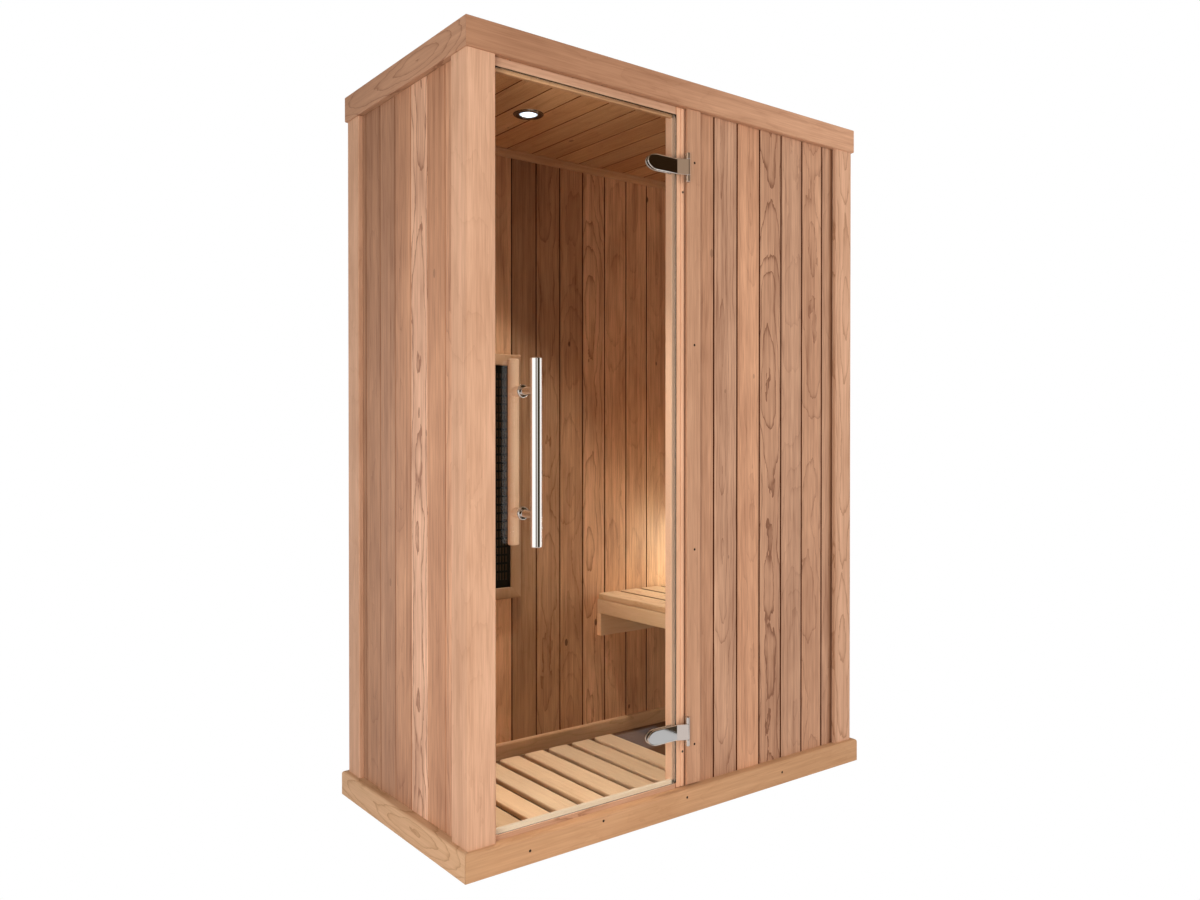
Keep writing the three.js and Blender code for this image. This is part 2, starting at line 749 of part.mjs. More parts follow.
function buildLamps() {
  const lamps = new THREE.Group();
  const canRadius = downlightCanDiameter / 2;
  const lensRadius = lensDiameter / 2;
  const rimLow = -downlightRim;
  const profile = [
    [lensRadius + fit, rimLow],
    [downlightDiameter / 2 - downlightRim, rimLow],
    [downlightDiameter / 2, -fit],
    [canRadius, -fit],
    [canRadius, downlightCanHeight],
    [0, downlightCanHeight],
    [0, lensThickness + fit],
    [lensRadius + fit, lensThickness + fit],
  ];
  const points = [...profile, profile[0]].map(([radius, height]) => new THREE.Vector2(radius, height));
  const bezel = new THREE.LatheGeometry(points, roundSegments).rotateX(Math.PI / 2);
  const { x, y } = downlightCentre();
  addPiece(lamps, 'downlight_bezel', bezel, darkChrome).position.set(x, y, roofBase);
  const lens = uprightRod(lensDiameter, x, y, roofBase + rimLow / 2, roofBase + lensThickness);
  addPiece(lamps, 'downlight_lens', lens, lampLens);

  const wall = roomHalfWidth - fit;
  const lampBack = roomHalfDepth - cornerLampFromRear;
  const lampBase = benchHeight + cornerLampLift;
  const body = roundedRectangle(
    wall - cornerLampDepth,
    lampBack - cornerLampWidth,
    wall,
    lampBack,
    cornerLampDepth / 4,
  );
  addPiece(lamps, 'corner_lamp', extrudeUp(body, lampBase, lampBase + cornerLampHeight), lampLens);
  return lamps;
}

function controlPanelGeometry() {
  const left = jambRight + casingWidth + controlFromCasing;
  const right = left + controlWidth;
  const top = controlBottom + controlHeight;
  const back = -roomHalfDepth + fit;
  const face = back + controlDepth;
  const border = controlWindowBorder;
  const body = box([left, back, controlBottom], [right, face, top]);
  const window = box(
    [left + border, face - controlWindowDepth, controlBottom + border],
    [right - border, face + 1, top - border],
  );
  return cut(body, window);
}

// The D-shaped outline of a hinge leaf in X and Z, relative to the pin axis
function leafOutline(tip, end) {
  const half = leafHeight / 2;
  const shape = new THREE.Shape();
  shape.moveTo(-end, half);
  shape.lineTo(-tip + leafTip, half);
  shape.absellipse(-tip + leafTip, 0, leafTip, half, Math.PI / 2, Math.PI * 1.5, false, 0);
  shape.lineTo(-end, -half);
  return shape;
}

function clampScrews(front, back, diameter) {
  const middle = -(leafLength + leafBend) / 2 - leafBend / 4;
  return [-1, 1].map((side) => levelRod(diameter, middle + (side * clampScrewPitch) / 2, 0, front, back, 16));
}

// Plate on the outside of the glass, bent out to a knuckle on the pin
function leafGeometry() {
  const plateBack = glassFront - fit - hingeY;
  const plateFront = plateBack - leafThickness;
  const half = leafHeight / 2;
  const plate = extrudeBack(leafOutline(leafLength, leafBend), plateFront, plateBack);
  const side = barrelRadius * 0.5;
  const rise = barrelRadius * Math.sqrt(0.75);
  const bend = outline([
    [-leafBend - leafThickness, plateFront],
    [-side, -rise],
    [0, 0],
    [-side, rise],
    [-leafBend - leafThickness, plateBack],
  ]);
  const barrel = uprightRod(barrelDiameter, 0, 0, -half, half);
  const bore = uprightRod(pinDiameter + 2 * pinPlay, 0, 0, -half - 1, half + 1);
  return cut(join(plate, extrudeUp(bend, -half, half), barrel), bore);
}

// Plate on the inside of the glass with its two screws
function clampGeometry() {
  const plateFront = glassBack + fit - hingeY;
  const plateEnd = hingeX - jambLeft + stopWidth + doorGap;
  const plate = extrudeBack(leafOutline(leafLength, plateEnd), plateFront, plateFront + leafThickness);
  const screwFront = glassFront - hingeY;
  return join(plate, ...clampScrews(screwFront, plateFront + leafThickness / 2, clampScrewDiameter));
}

// Plate let in between the jamb and the casing, with a barrel above and below the leaf
function bracketGeometry() {
  const half = bracketHeight / 2;
  const gap = leafHeight / 2 + fit;
  const plateRight = barrelRadius;
  const plateLeft = plateRight - bracketThickness;
  const plateFront = barrelRadius + barrelClearance / 2;
  const pieces = [box([plateLeft, plateFront, -half], [plateRight, plateFront + bracketDepth, half])];
  for (const [low, high] of [[-half, -gap], [gap, half]]) {
    pieces.push(uprightRod(barrelDiameter, 0, 0, low, high));
    pieces.push(box([plateLeft, 0, low], [plateRight, plateFront + fit, high]));
  }
  const bore = uprightRod(pinDiameter + 2 * pinPlay, 0, 0, -half - 1, half + 1);
  return cut(join(...pieces), bore);
}

function buildHingeBrackets() {
  const brackets = new THREE.Group();
  brackets.position.set(hingeX, hingeY, 0);
  for (const [place, height] of Object.entries(hingeHeights)) {
    addPiece(brackets, `hinge_bracket_${place}`, bracketGeometry(), chrome).position.z = height;
    const pin = uprightRod(pinDiameter, 0, 0, -bracketHeight / 2, bracketHeight / 2);
    addPiece(brackets, `hinge_pin_${place}`, pin, greyMetal).position.z = height;
  }
  return brackets;
}

function glassGeometry(handlePosts) {
  const left = glassLeft - hingeX;
  const right = glassRight - hingeX;
  const pane = roundedRectangle(left, glassBottom, right, glassTop, glassCorner);
  const front = glassFront - hingeY;
  const back = glassBack - hingeY;
  const holes = handlePosts.map(({ x, z }) => (
    levelRod(handleBoltDiameter + 2 * glassHolePlay, x, z, front - 1, back + 1, 16)
  ));
  for (const height of Object.values(hingeHeights)) {
    const screws = clampScrews(front - 1, back + 1, clampScrewDiameter + 2 * glassHolePlay);
    holes.push(...screws.map((hole) => hole.translate(0, 0, height)));
  }
  return cut(extrudeBack(pane, front, back), ...holes);
}

// Upright bar on two posts; each post has a rosette on the glass and a bolt through it
function handleGeometry(handlePosts) {
  const front = glassFront - hingeY;
  const barY = front - handleReach;
  const x = handlePosts[0].x;
  const half = handleLength / 2;
  const pieces = [uprightRod(handleDiameter, x, barY, handleHeight - half, handleHeight + half)];
  for (const { z } of handlePosts) {
    const boltEnd = glassBack - hingeY + handleBoltLength;
    pieces.push(levelRod(handlePostDiameter, x, z, barY, front - fit));
    pieces.push(levelRod(rosetteDiameter, x, z, front - fit - rosetteThickness, front - fit));
    pieces.push(levelRod(handleBoltDiameter, x, z, front - rosetteThickness, boltEnd, 16));
  }
  return join(...pieces);
}

// Round wooden bar on two spacers that take the handle bolts
function gripGeometry(handlePosts) {
  const back = glassBack - hingeY;
  const gripY = back + gripSpacerLength + gripDiameter / 2;
  const x = handlePosts[0].x;
  const half = gripLength / 2;
  const bar = uprightRod(gripDiameter, x, gripY, handleHeight - half, handleHeight + half);
  const spacers = handlePosts.map(({ z }) => levelRod(gripSpacerDiameter, x, z, back + fit, gripY));
  const depth = back + handleBoltLength + fit;
  const socketDiameter = handleBoltDiameter + 2 * fit;
  const sockets = handlePosts.map(({ z }) => levelRod(socketDiameter, x, z, back - 1, depth, 16));
  return cut(join(bar, ...spacers), ...sockets);
}

// The door group stands on the hinge axis, so that turning it about Z opens the door
function buildDoor() {
  const door = new THREE.Group();
  door.position.set(hingeX, hingeY, 0);
  const handleX = glassLeft + handleInset - hingeX;
  const handlePosts = [-1, 1].map((side) => ({ x: handleX, z: handleHeight + (side * handlePostPitch) / 2 }));
  addPiece(door, 'door_glass', glassGeometry(handlePosts), clearGlass);
  for (const [place, height] of Object.entries(hingeHeights)) {
    addPiece(door, `hinge_leaf_${place}`, leafGeometry(), chrome).position.z = height;
    addPiece(door, `hinge_clamp_${place}`, clampGeometry(), chrome).position.z = height;
  }
  addPiece(door, 'door_handle', handleGeometry(handlePosts), chrome);
  addPiece(door, 'inner_grip', gripGeometry(handlePosts), cedarFrame);
  return door;
}

const cabin = new THREE.Group();
cabin.add(buildBase(), buildPosts(), buildWalls(), buildRoof(), buildDoorFrame(), buildMouldings());
cabin.add(buildBench(), buildHeater(), buildLamps(), buildHingeBrackets(), buildDoor());
addPiece(cabin, 'duckboard', duckboardGeometry(), paleSlat);
addPiece(cabin, 'control_panel', controlPanelGeometry(), blackPlastic);

export default cabin;
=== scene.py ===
import math

import bpy
import numpy as np
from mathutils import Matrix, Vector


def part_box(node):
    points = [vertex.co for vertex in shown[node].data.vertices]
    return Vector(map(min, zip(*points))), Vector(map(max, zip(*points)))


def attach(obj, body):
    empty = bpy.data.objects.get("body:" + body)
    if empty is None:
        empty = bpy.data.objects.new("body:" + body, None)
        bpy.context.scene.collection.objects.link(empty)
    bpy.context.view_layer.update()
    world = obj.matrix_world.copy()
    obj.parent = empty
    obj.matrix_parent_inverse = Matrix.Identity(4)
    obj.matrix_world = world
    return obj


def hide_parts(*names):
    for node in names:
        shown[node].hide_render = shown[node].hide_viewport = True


# The looks of an infrared sauna cabin, built round its CAD frame. Metres, +Z up, the
# front faces -Y.

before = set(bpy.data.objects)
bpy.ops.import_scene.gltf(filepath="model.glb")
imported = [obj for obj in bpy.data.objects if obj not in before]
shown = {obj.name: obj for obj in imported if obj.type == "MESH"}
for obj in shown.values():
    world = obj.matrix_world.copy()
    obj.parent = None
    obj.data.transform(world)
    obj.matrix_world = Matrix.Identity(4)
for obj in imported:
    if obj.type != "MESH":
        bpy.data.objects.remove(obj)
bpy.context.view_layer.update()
print("stage: frame loaded,", len(shown), "nodes")

# Surfaces: every new piece is a loft, a grid whose rows are closed loops with both ends capped

quarter = np.pi / 2
flatShare = 1.3  # how far in from an eased edge, in easings, the flat face has its own loop
upright = np.eye(3)
towardsFront = np.array([[1, 0, 0], [0, 0, 1], [0, -1, 0]], float)  # a plan's height points to the front


# Rows of loops joined by quads, row i to row i + 1, point j to point j + 1 round the loop
def loft(loops):
    rows, count = loops.shape[:2]
    index = np.arange(rows * count).reshape(rows, count)
    nextIndex = np.roll(index, -1, axis=1)
    quads = np.stack([index[:-1], nextIndex[:-1], nextIndex[1:], index[1:]], axis=-1)
    caps = [index[0, ::-1].tolist(), index[-1].tolist()]
    return loops.reshape(-1, 3), quads.reshape(-1, 4).tolist() + caps


# Several solids as one: each one's faces count on from the points before it
def gather(*solids):
    points, joined, start = [], [], 0
    for solidPoints, solidFaces in solids:
        points.append(solidPoints)
        joined += [[i + start for i in face] for face in solidFaces]
        start += len(solidPoints)
    return np.concatenate(points), joined


# Every point moved by the same offset
def shift(solid, offset):
    return solid[0] + np.array(offset, float), solid[1]


# Rows turned by a multiple of 90 degrees in the plane of the first two axes of the order
def quarterTurn(degrees, order=(0, 1, 2)):
    c = round(math.cos(math.radians(degrees)))
    s = round(math.sin(math.radians(degrees)))
    return np.array([[c, s, 0], [-s, c, 0], [0, 0, 1]], float)[np.ix_(order, order)]


# Outward normals of an anticlockwise loop: its central difference turned a quarter clockwise
def loopNormals(loop):
    tangent = np.roll(loop, -1, axis=0) - np.roll(loop, 1, axis=0)
    normal = np.stack([tangent[:, 1], -tangent[:, 0]], axis=1)
    return normal / np.maximum(np.linalg.norm(normal, axis=1, keepdims=True), 1e-9)


# A quarter circle of points at each corner in turn, anticlockwise
def roundedLoop(low, high, radius, steps=5):
    turn = np.linspace(0, quarter, steps)
    quarters = turn[None, :] + quarter * np.array([-1, 0, 1, 2])[:, None]
    corner = np.array([[1, 0], [1, 1], [0, 1], [0, 0]])
    low, high = np.array(low, float), np.array(high, float)
    middle = np.where(corner == 1, high - radius, low + radius)
    arc = np.stack([np.cos(quarters), np.sin(quarters)], axis=-1) * radius
    return (middle[:, None, :] + arc).reshape(-1, 2)


# Rows from low to high with both ends eased: near an end the inset is ease * (1 - sin t) where the
# height has moved by ease * (1 - cos t), and one more row further in keeps the flat face flat
def easedRows(low, high, ease, steps):
    t = np.linspace(0, quarter, steps)
    inset = np.concatenate([[ease * flatShare], ease * (1 - np.sin(t)), [0]])
    rise = np.concatenate([[0], ease * (1 - np.cos(t)), [ease * flatShare]])
    return np.concatenate([inset, inset[::-1]]), np.concatenate([low + rise, high - rise[::-1]])


# A loop for each row, with the row's height as the third coordinate
def liftedLoft(loops, height, plane):
    lift = np.broadcast_to(height[:, None, None], loops.shape[:2] + (1,))
    return loft(np.concatenate([loops, lift], axis=-1) @ plane)


# A plate: the loop is carried from low to high, drawn in along its normals by the eased rows
def easedPlate(loop, low, high, ease, plane=upright, steps=4):
    inset, height = easedRows(low, high, ease, steps)
    return liftedLoft(loop[None] - loopNormals(loop)[None] * inset[:, None, None], height, plane)


# A block with every edge rounded
def easedBlock(low, high, ease):
    return easedPlate(roundedLoop(low[:2], high[:2], ease), low[2], high[2], ease * 0.7)


# A solid of revolution: each profile row is a radius and a height along the plane's third axis
def spin(profile, centre, plane=upright, steps=48):
    profile = np.array(profile, float)
    angle = np.linspace(0, 2 * np.pi, steps, endpoint=False)
    circle = np.stack([np.cos(angle), np.sin(angle)], axis=1)
    return shift(liftedLoft(circle[None] * profile[:, None, None, 0], profile[:, 1], plane), centre)


# Profile of a round bar: its radius less the inset of the eased rows, at their heights
def barProfile(radius, low, high, ease, steps=6):
    inset, height = easedRows(low, high, ease, steps)
    return np.stack([radius - inset, height], axis=1)


# A board with mitred ends: each end of the section is set back by the depth of its points
def mitredBoard(section, outerLength, base, turn, gap):
    inset, height = section[:, 0], section[:, 1]
    reach = outerLength / 2 - inset - gap
    rows = [np.stack([end * reach, inset, height], axis=1) for end in (-1, 1)]
    return shift(loft(np.stack(rows) @ quarterTurn(turn)), base)


def makePiece(name, solid, body, slotName, material, *replaced, sharp=35):
    points, joined = solid
    mesh = bpy.data.meshes.new(name)
    mesh.from_pydata(points.tolist(), [], joined)
    mesh.polygons.foreach_set("use_smooth", np.ones(len(mesh.polygons), dtype=bool))
    mesh.set_sharp_from_angle(angle=math.radians(sharp))
    mesh.materials.append(material)
    piece = bpy.data.objects.new(name, mesh)
    bpy.context.scene.collection.objects.link(piece)
    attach(piece, body)
    if replaced:
        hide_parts(*replaced)


# A node that keeps its CAD shape gets its finish here
def dress(node, material):
    materials = shown[node].data.materials
    materials.clear()
    materials.append(material)


def cadBox(node):
    low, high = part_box(node)
    return np.array(low), np.array(high)


# Nodes of a material


def addNode(tree, kind, **settings):
    node = tree.nodes.new("ShaderNode" + kind)
    for key, value in settings.items():
        setattr(node, key, value)
    return node


def feed(tree, socket, value):
    if isinstance(value, bpy.types.NodeSocket):
        tree.links.new(value, socket)
    else:
        socket.default_value = value


def fill(tree, node, values):
    for label, value in values.items():
        feed(tree, node.inputs[label], value)


def maths(tree, operation, *values):
    node = addNode(tree, "Math", operation=operation)
    for socket, value in zip(node.inputs, values):
        feed(tree, socket, value)
    return node.outputs[0]


def mixColours(tree, factor, first, second, blend="MIX"):
    node = addNode(tree, "Mix", data_type="RGBA", blend_type=blend)
    for name, value in (("Factor_Float", factor), ("A_Color", first), ("B_Color", second)):
        feed(tree, next(s for s in node.inputs if s.identifier == name), value)
    return next(s for s in node.outputs if s.identifier == "Result_Color")


# limits are the value's low and high, and the two results where they aren't 0 and 1
def mapRange(tree, value, limits, **settings):
    node = addNode(tree, "MapRange", **settings)
    fill(tree, node, {"Value": value})
    fill(tree, node, dict(zip(("From Min", "From Max", "To Min", "To Max"), limits)))
    return node.outputs[0]


def splitAxes(tree, vector):
    node = addNode(tree, "SeparateXYZ")
    feed(tree, node.inputs[0], vector)
    return dict(zip("XYZ", node.outputs))


def objectPosition(tree):
    return addNode(tree, "TexCoord").outputs["Object"]


def scaled(tree, vector, factors):
    node = addNode(tree, "VectorMath", operation="MULTIPLY")
    feed(tree, node.inputs[0], vector)
    node.inputs[1].default_value = factors
    return node.outputs[0]


def noiseAt(tree, position, seed, scale, detail):
    noise = addNode(tree, "TexNoise", noise_dimensions="4D")
    fill(tree, noise, {"Vector": scaled(tree, position, scale), "W": seed, "Scale": 1.0, "Detail": detail})
    return noise.outputs["Fac"]


def openGroup(name, inputs, outputs):
    tree = bpy.data.node_groups.new(name, "ShaderNodeTree")
    for way, sockets in (("INPUT", inputs), ("OUTPUT", outputs)):
        for label, kind in sockets.items():
            tree.interface.new_socket(label, in_out=way, socket_type="NodeSocket" + kind)
    return tree, tree.nodes.new("NodeGroupInput").outputs, tree.nodes.new("NodeGroupOutput").inputs


grain = {
    "ringsPerMetre": 85.0,
    "ringSharpness": 9.0,
    "ringShare": 1.1,  # how far a year ring darkens a board that shows flames
    "darkShare": 0.4,  # dark wood in a board with no rings
    "shares": {"streak": 0.9, "cloud": 1.0, "fibre": 0.9},
    "pithSpread": 0.03,  # the pith line: how far boards differ across, its depth, slope and bends
    "pithDepth": (0.06, 0.03),
    "pithSlope": 0.06,
    "pithDrift": 0.16,
    "ringWobble": 0.014,
    "seedStep": 7.31,
    "speckSize": 0.006,
    "speckSpacing": 0.06,
    "speckStretch": (1, 1, 0.5),
    "speckColour": (0.07, 0.03, 0.014, 1),
    "fibreHeight": 0.6,
    "ringHeight": 0.4,
}
# scale across, in depth and along the board, and detail
grainNoises = {
    "drift": ((3, 3, 1.6), 2.0),
    "wobble": ((45, 45, 13), 3.0),
    "streak": ((90, 90, 0.9), 3.0),
    "cloud": ((14, 14, 4.0), 2.0),
    "fibre": ((330, 330, 12), 2.0),
}


# Position is across, depth and along the board. The year rings are cones round a pith line beside
# the board: distance from it, with a slow drift along the board, so flat boards show flames.
def makeGrainGroup():
    inputs = {"Position": "Vector", "Seed": "Float", "Light": "Color", "Dark": "Color", "Tone": "Color",
              "Flame": "Float", "Specks": "Float"}
    tree, given, result = openGroup("cedarGrain", inputs, {"Colour": "Color", "Height": "Float"})

    def work(operation, *values):
        return maths(tree, operation, *values)

    def centred(value):
        return work("SUBTRACT", value, 0.5)

    position = given["Position"]
    chance = addNode(tree, "TexWhiteNoise", noise_dimensions="1D")
    fill(tree, chance, {"W": given["Seed"]})
    picks = addNode(tree, "SeparateColor")
    feed(tree, picks.inputs[0], chance.outputs["Color"])
    red, green, blue = picks.outputs
    axis = splitAxes(tree, position)
    seed = work("MULTIPLY", given["Seed"], grain["seedStep"])
    noise = {name: noiseAt(tree, position, seed, *look) for name, look in grainNoises.items()}

    aside = work("SUBTRACT", axis["X"], work("MULTIPLY", centred(red), grain["pithSpread"]))
    depth = work("MULTIPLY_ADD", green, *grain["pithDepth"])
    depth = work("MULTIPLY_ADD", centred(noise["drift"]), grain["pithDrift"], depth)
    depth = work("MULTIPLY_ADD", axis["Z"], work("MULTIPLY", centred(blue), grain["pithSlope"]), depth)
    square = work("ADD", work("MULTIPLY", aside, aside), work("MULTIPLY", depth, depth))
    radius = work("MULTIPLY_ADD", centred(noise["wobble"]), grain["ringWobble"], work("SQRT", square))
    phase = work("FRACT", work("MULTIPLY", radius, grain["ringsPerMetre"]))
    rings = work("MULTIPLY", work("POWER", phase, grain["ringSharpness"]), given["Flame"])

    factor = work("MULTIPLY_ADD", rings, grain["ringShare"], grain["darkShare"])
    for name, share in grain["shares"].items():
        factor = work("MULTIPLY_ADD", centred(noise[name]), share, factor)
    clamp = addNode(tree, "Clamp")
    feed(tree, clamp.inputs[0], factor)
    colour = mixColours(tree, clamp.outputs[0], given["Light"], given["Dark"])
    colour = mixColours(tree, 1.0, colour, given["Tone"], "MULTIPLY")

    # small dark specks: one in some cells of the board face
    cells = addNode(tree, "TexVoronoi", voronoi_dimensions="4D", feature="F1")
    place = scaled(tree, position, grain["speckStretch"])
    fill(tree, cells, {"Vector": place, "W": seed, "Scale": 1 / grain["speckSpacing"]})
    speck = work("LESS_THAN", cells.outputs["Distance"], grain["speckSize"] / grain["speckSpacing"])
    colour = mixColours(tree, work("MULTIPLY", speck, given["Specks"]), colour, grain["speckColour"])
    feed(tree, result["Colour"], colour)
    ridge = work("MULTIPLY", rings, grain["ringHeight"])
    feed(tree, result["Height"], work("MULTIPLY_ADD", noise["fibre"], grain["fibreHeight"], ridge))
    return tree


grainGroup = makeGrainGroup()

# spread is how far boards differ in tone, flame how strongly the rings show
woodSurface = {"roughness": 0.55, "specular": 0.3, "bump": 0.25, "bumpDistance": 0.0004,
               "spread": 0.03, "flame": 0.15, "specks": 0.0}
# Colours are linear light; what a wood doesn't say is as in woodSurface
woods = {
    "post": dict(light=(0.71, 0.41, 0.262), dark=(0.42, 0.21, 0.115)),
    "fascia": dict(light=(0.63, 0.35, 0.213), dark=(0.37, 0.175, 0.095)),
    "board": dict(light=(0.74, 0.41, 0.25), dark=(0.28, 0.118, 0.062), spread=0.10, flame=0.2, specks=0.35),
    "lining": dict(light=(0.80, 0.46, 0.25), dark=(0.30, 0.13, 0.06), spread=0.12, flame=0.25, specks=0.8),
    "ceiling": dict(light=(0.70, 0.40, 0.20), dark=(0.42, 0.20, 0.085), spread=0.08, flame=0.25, specks=0.6),
    "pale": dict(light=(0.67, 0.395, 0.22), dark=(0.45, 0.235, 0.11)),
    "jamb": dict(light=(0.94, 0.56, 0.36), dark=(0.70, 0.38, 0.225)),
    "heater": dict(light=(0.52, 0.30, 0.165), dark=(0.38, 0.205, 0.10)),
    "grip": dict(light=(0.78, 0.50, 0.33), dark=(0.60, 0.35, 0.21)),
    "stop": dict(light=(0.95, 0.64, 0.45), dark=(0.80, 0.50, 0.34)),
    "slat": dict(light=(0.91, 0.665, 0.42), dark=(0.73, 0.475, 0.27), spread=0.05, flame=0.2),
    "skirting": dict(light=(0.86, 0.55, 0.31), dark=(0.70, 0.42, 0.22)),
    "cream": dict(light=(0.93, 0.80, 0.64), dark=(0.82, 0.66, 0.49), spread=0.02, flame=0.1),
    "floor": dict(light=(0.22, 0.11, 0.055), dark=(0.13, 0.06, 0.028), spread=0.02, flame=0.1, specular=0.05),
}
toneLook = {"warmthShare": 0.4, "flameAbove": 0.8, "fadePowers": (1, 1.25, 1.5), "seamPowers": (1, 1.5, 2)}


# Tones of a run of boards as (level, warmth, flame), from the wood's spread or listed
def boardTones(look, count, seed, given):
    chance = np.random.default_rng(seed)
    level = 1 + chance.normal(0, look["spread"], count)
    warmth = 1 + chance.normal(0, look["spread"] * toneLook["warmthShare"], count)
    flame = np.where(chance.random(count) > toneLook["flameAbove"], 1.0, look["flame"])
    tones = np.stack([level, warmth, flame], axis=1)
    tones[: len(given)] = np.array(given[:count]).reshape(-1, 3)
    return tones


# A level as a colour: a warmer board has less green and still less blue
def toneColour(level, warmth):
    return level, level / warmth, level / warmth**2


# A new material with values on its shader: its node tree, its shader and itself
def openMaterial(name, values):
    material = bpy.data.materials.new(name)
    material.use_nodes = True
    tree = material.node_tree
    surface = tree.nodes["Principled BSDF"]
    fill(tree, surface, values)
    return tree, surface, material


# along and across name the board's axes. A single board is centred on origin across; a run holds
# boards of one pitch from origin, with listed tones, and how dark and wide the seams are.
def woodMaterial(name, wood, along, across, origin, seed, fade=None, run=None):
    look = {**woodSurface, **woods[wood]}
    tree, surface, material = openMaterial(
        name, {"Roughness": look["roughness"], "Specular IOR Level": look["specular"]})
    axis = splitAxes(tree, objectPosition(tree))
    depthAxis = next(a for a in "XYZ" if a not in (along, across))
    group = addNode(tree, "Group", node_tree=grainGroup)
    fill(tree, group, {"Seed": seed, "Specks": look["specks"], "Light": (*look["light"], 1),
                       "Dark": (*look["dark"], 1)})
    colour = group.outputs["Colour"]
    run = run or {}
    count = run.get("count", 1)
    tones = boardTones(look, count, int(seed), run.get("tones", ()))
    facing = -1.0 if run.get("flip") else 1.0
    side = maths(tree, "SUBTRACT", maths(tree, "MULTIPLY", axis[across], facing), origin)
    if run:
        pitch = run["pitch"]
        boards = maths(tree, "DIVIDE", side, pitch)
        index = maths(tree, "FLOOR", boards)
        side = maths(tree, "SUBTRACT", maths(tree, "FRACT", boards), 0.5)
        side = maths(tree, "MULTIPLY", side, pitch)
        # one step of the ramp for each board, counted from the board before the origin; each step
        # holds half its tone, which is doubled after the ramp
        ramp = addNode(tree, "ValToRGB")
        ramp.color_ramp.interpolation = "CONSTANT"
        steps = ramp.color_ramp.elements
        while len(steps) < count:
            steps.new(1.0)
        for i, (level, warmth, flame) in enumerate(tones):
            steps[i].position = i / count
            steps[i].color = (*toneColour(level / 2, warmth), flame)
        feed(tree, ramp.inputs[0], maths(tree, "DIVIDE", maths(tree, "ADD", index, 1.5), count))
        tone = mixColours(tree, 1.0, ramp.outputs["Color"], (2, 2, 2, 1), "MULTIPLY")
        fill(tree, group, {"Seed": maths(tree, "ADD", index, seed), "Tone": tone,
                           "Flame": ramp.outputs["Alpha"]})
        # painted shade in the seam grooves, partly the joint's own dark: a strip at each board's edge keeps
        # less colour, browner, and is rougher so it takes no sheen
        edge = maths(tree, "SUBTRACT", pitch / 2, maths(tree, "ABSOLUTE", side))
        seam = maths(tree, "LESS_THAN", edge, run.get("seamHalf", 0.0))
        kept = [run.get("seamShadeKept", 1.0) ** power for power in toneLook["seamPowers"]]
        colour = mixColours(tree, seam, colour, mixColours(tree, 1.0, colour, (*kept, 1), "MULTIPLY"))
        rougher = maths(tree, "MULTIPLY_ADD", seam, 1 - look["roughness"], look["roughness"])
        fill(tree, surface, {"Roughness": rougher})
    else:
        level, warmth, flame = tones[0]
        fill(tree, group, {"Tone": (*toneColour(level, warmth), 1), "Flame": flame})
    place = addNode(tree, "CombineXYZ")
    for socket, value in zip(place.inputs, (side, axis[depthAxis], axis[along])):
        feed(tree, socket, value)
    fill(tree, group, {"Position": place.outputs[0]})
    # painted light and shade: a tone that changes along one axis, browner where it is darker
    if fade:
        change = mapRange(tree, axis[fade[0]], fade[1:])
        tint = addNode(tree, "CombineColor")
        for socket, power in zip(tint.inputs, toneLook["fadePowers"]):
            feed(tree, socket, maths(tree, "POWER", change, power))
        colour = mixColours(tree, 1.0, colour, tint.outputs[0], "MULTIPLY")
    bump = addNode(tree, "Bump")
    fill(tree, bump, {"Strength": look["bump"], "Distance": look["bumpDistance"],
                      "Height": group.outputs["Height"]})
    fill(tree, surface, {"Base Color": colour, "Normal": bump.outputs[0]})
    return material


# Paint and film: a faint mottle in the colour and the roughness
paintLook = {"scale": (60, 60, 60), "detail": 3.0, "darker": 0.8, "roughness": 0.2}


def paintMaterial(name, colour, roughness, metallic=0.0, specular=0.5):
    tree, surface, material = openMaterial(name, {"Metallic": metallic, "Specular IOR Level": specular})
    mottle = noiseAt(tree, objectPosition(tree), 1.0, paintLook["scale"], paintLook["detail"])
    darker = tuple(paintLook["darker"] * part for part in colour) + (1,)
    spread = paintLook["roughness"]
    fill(tree, surface, {
        "Base Color": mixColours(tree, mottle, darker, (*colour, 1)),
        "Roughness": maths(tree, "MULTIPLY_ADD", mottle, spread, roughness - spread / 2),
    })
    return material


# Up to coreShare of its reach a lens has the colour and the glow of its core
glowLook = {"body": (0.9, 0.9, 0.88, 1), "roughness": 0.3, "coreShare": 0.35}


# A lit lens: the light falls off from a centre line with the distance, and its colour changes with it
def glowMaterial(name, look, centre, reach):
    tree, surface, material = openMaterial(
        name, {"Base Color": glowLook["body"], "Roughness": glowLook["roughness"]})
    away = addNode(tree, "VectorMath", operation="DISTANCE")
    feed(tree, away.inputs[0], scaled(tree, objectPosition(tree), (1, 1, 0)))
    away.inputs[1].default_value = (centre[0], centre[1], 0)
    limits = (reach * glowLook["coreShare"], reach)
    edge = mapRange(tree, away.outputs["Value"], limits, interpolation_type="SMOOTHSTEP")
    light = mixColours(tree, edge, (*look["core"], 1), (*look["edge"], 1))
    fall = maths(tree, "MULTIPLY_ADD", edge, look["edgeGlow"] / look["coreGlow"] - 1, 1.0)
    fill(tree, surface, {"Emission Color": mixColours(tree, 1.0, light, fall, "MULTIPLY"),
                         "Emission Strength": look["coreGlow"]})
    return material


# Polished metal: faint smears change the roughness
smear = {"scale": (40, 40, 12), "detail": 2.0, "seed": 2.0}


def polishedMaterial(name, colour, roughness):
    tree, surface, material = openMaterial(name, {"Base Color": (*colour, 1), "Metallic": 1.0})
    streaks = noiseAt(tree, objectPosition(tree), smear["seed"], smear["scale"], smear["detail"])
    fill(tree, surface, {"Roughness": maths(tree, "MULTIPLY_ADD", streaks, roughness, roughness / 2)})
    return material


def mixShaders(tree, factor, first, second):
    mix = addNode(tree, "MixShader")
    for socket, value in zip(mix.inputs, (factor, first.outputs[0], second.outputs[0])):
        feed(tree, socket, value)
    return mix


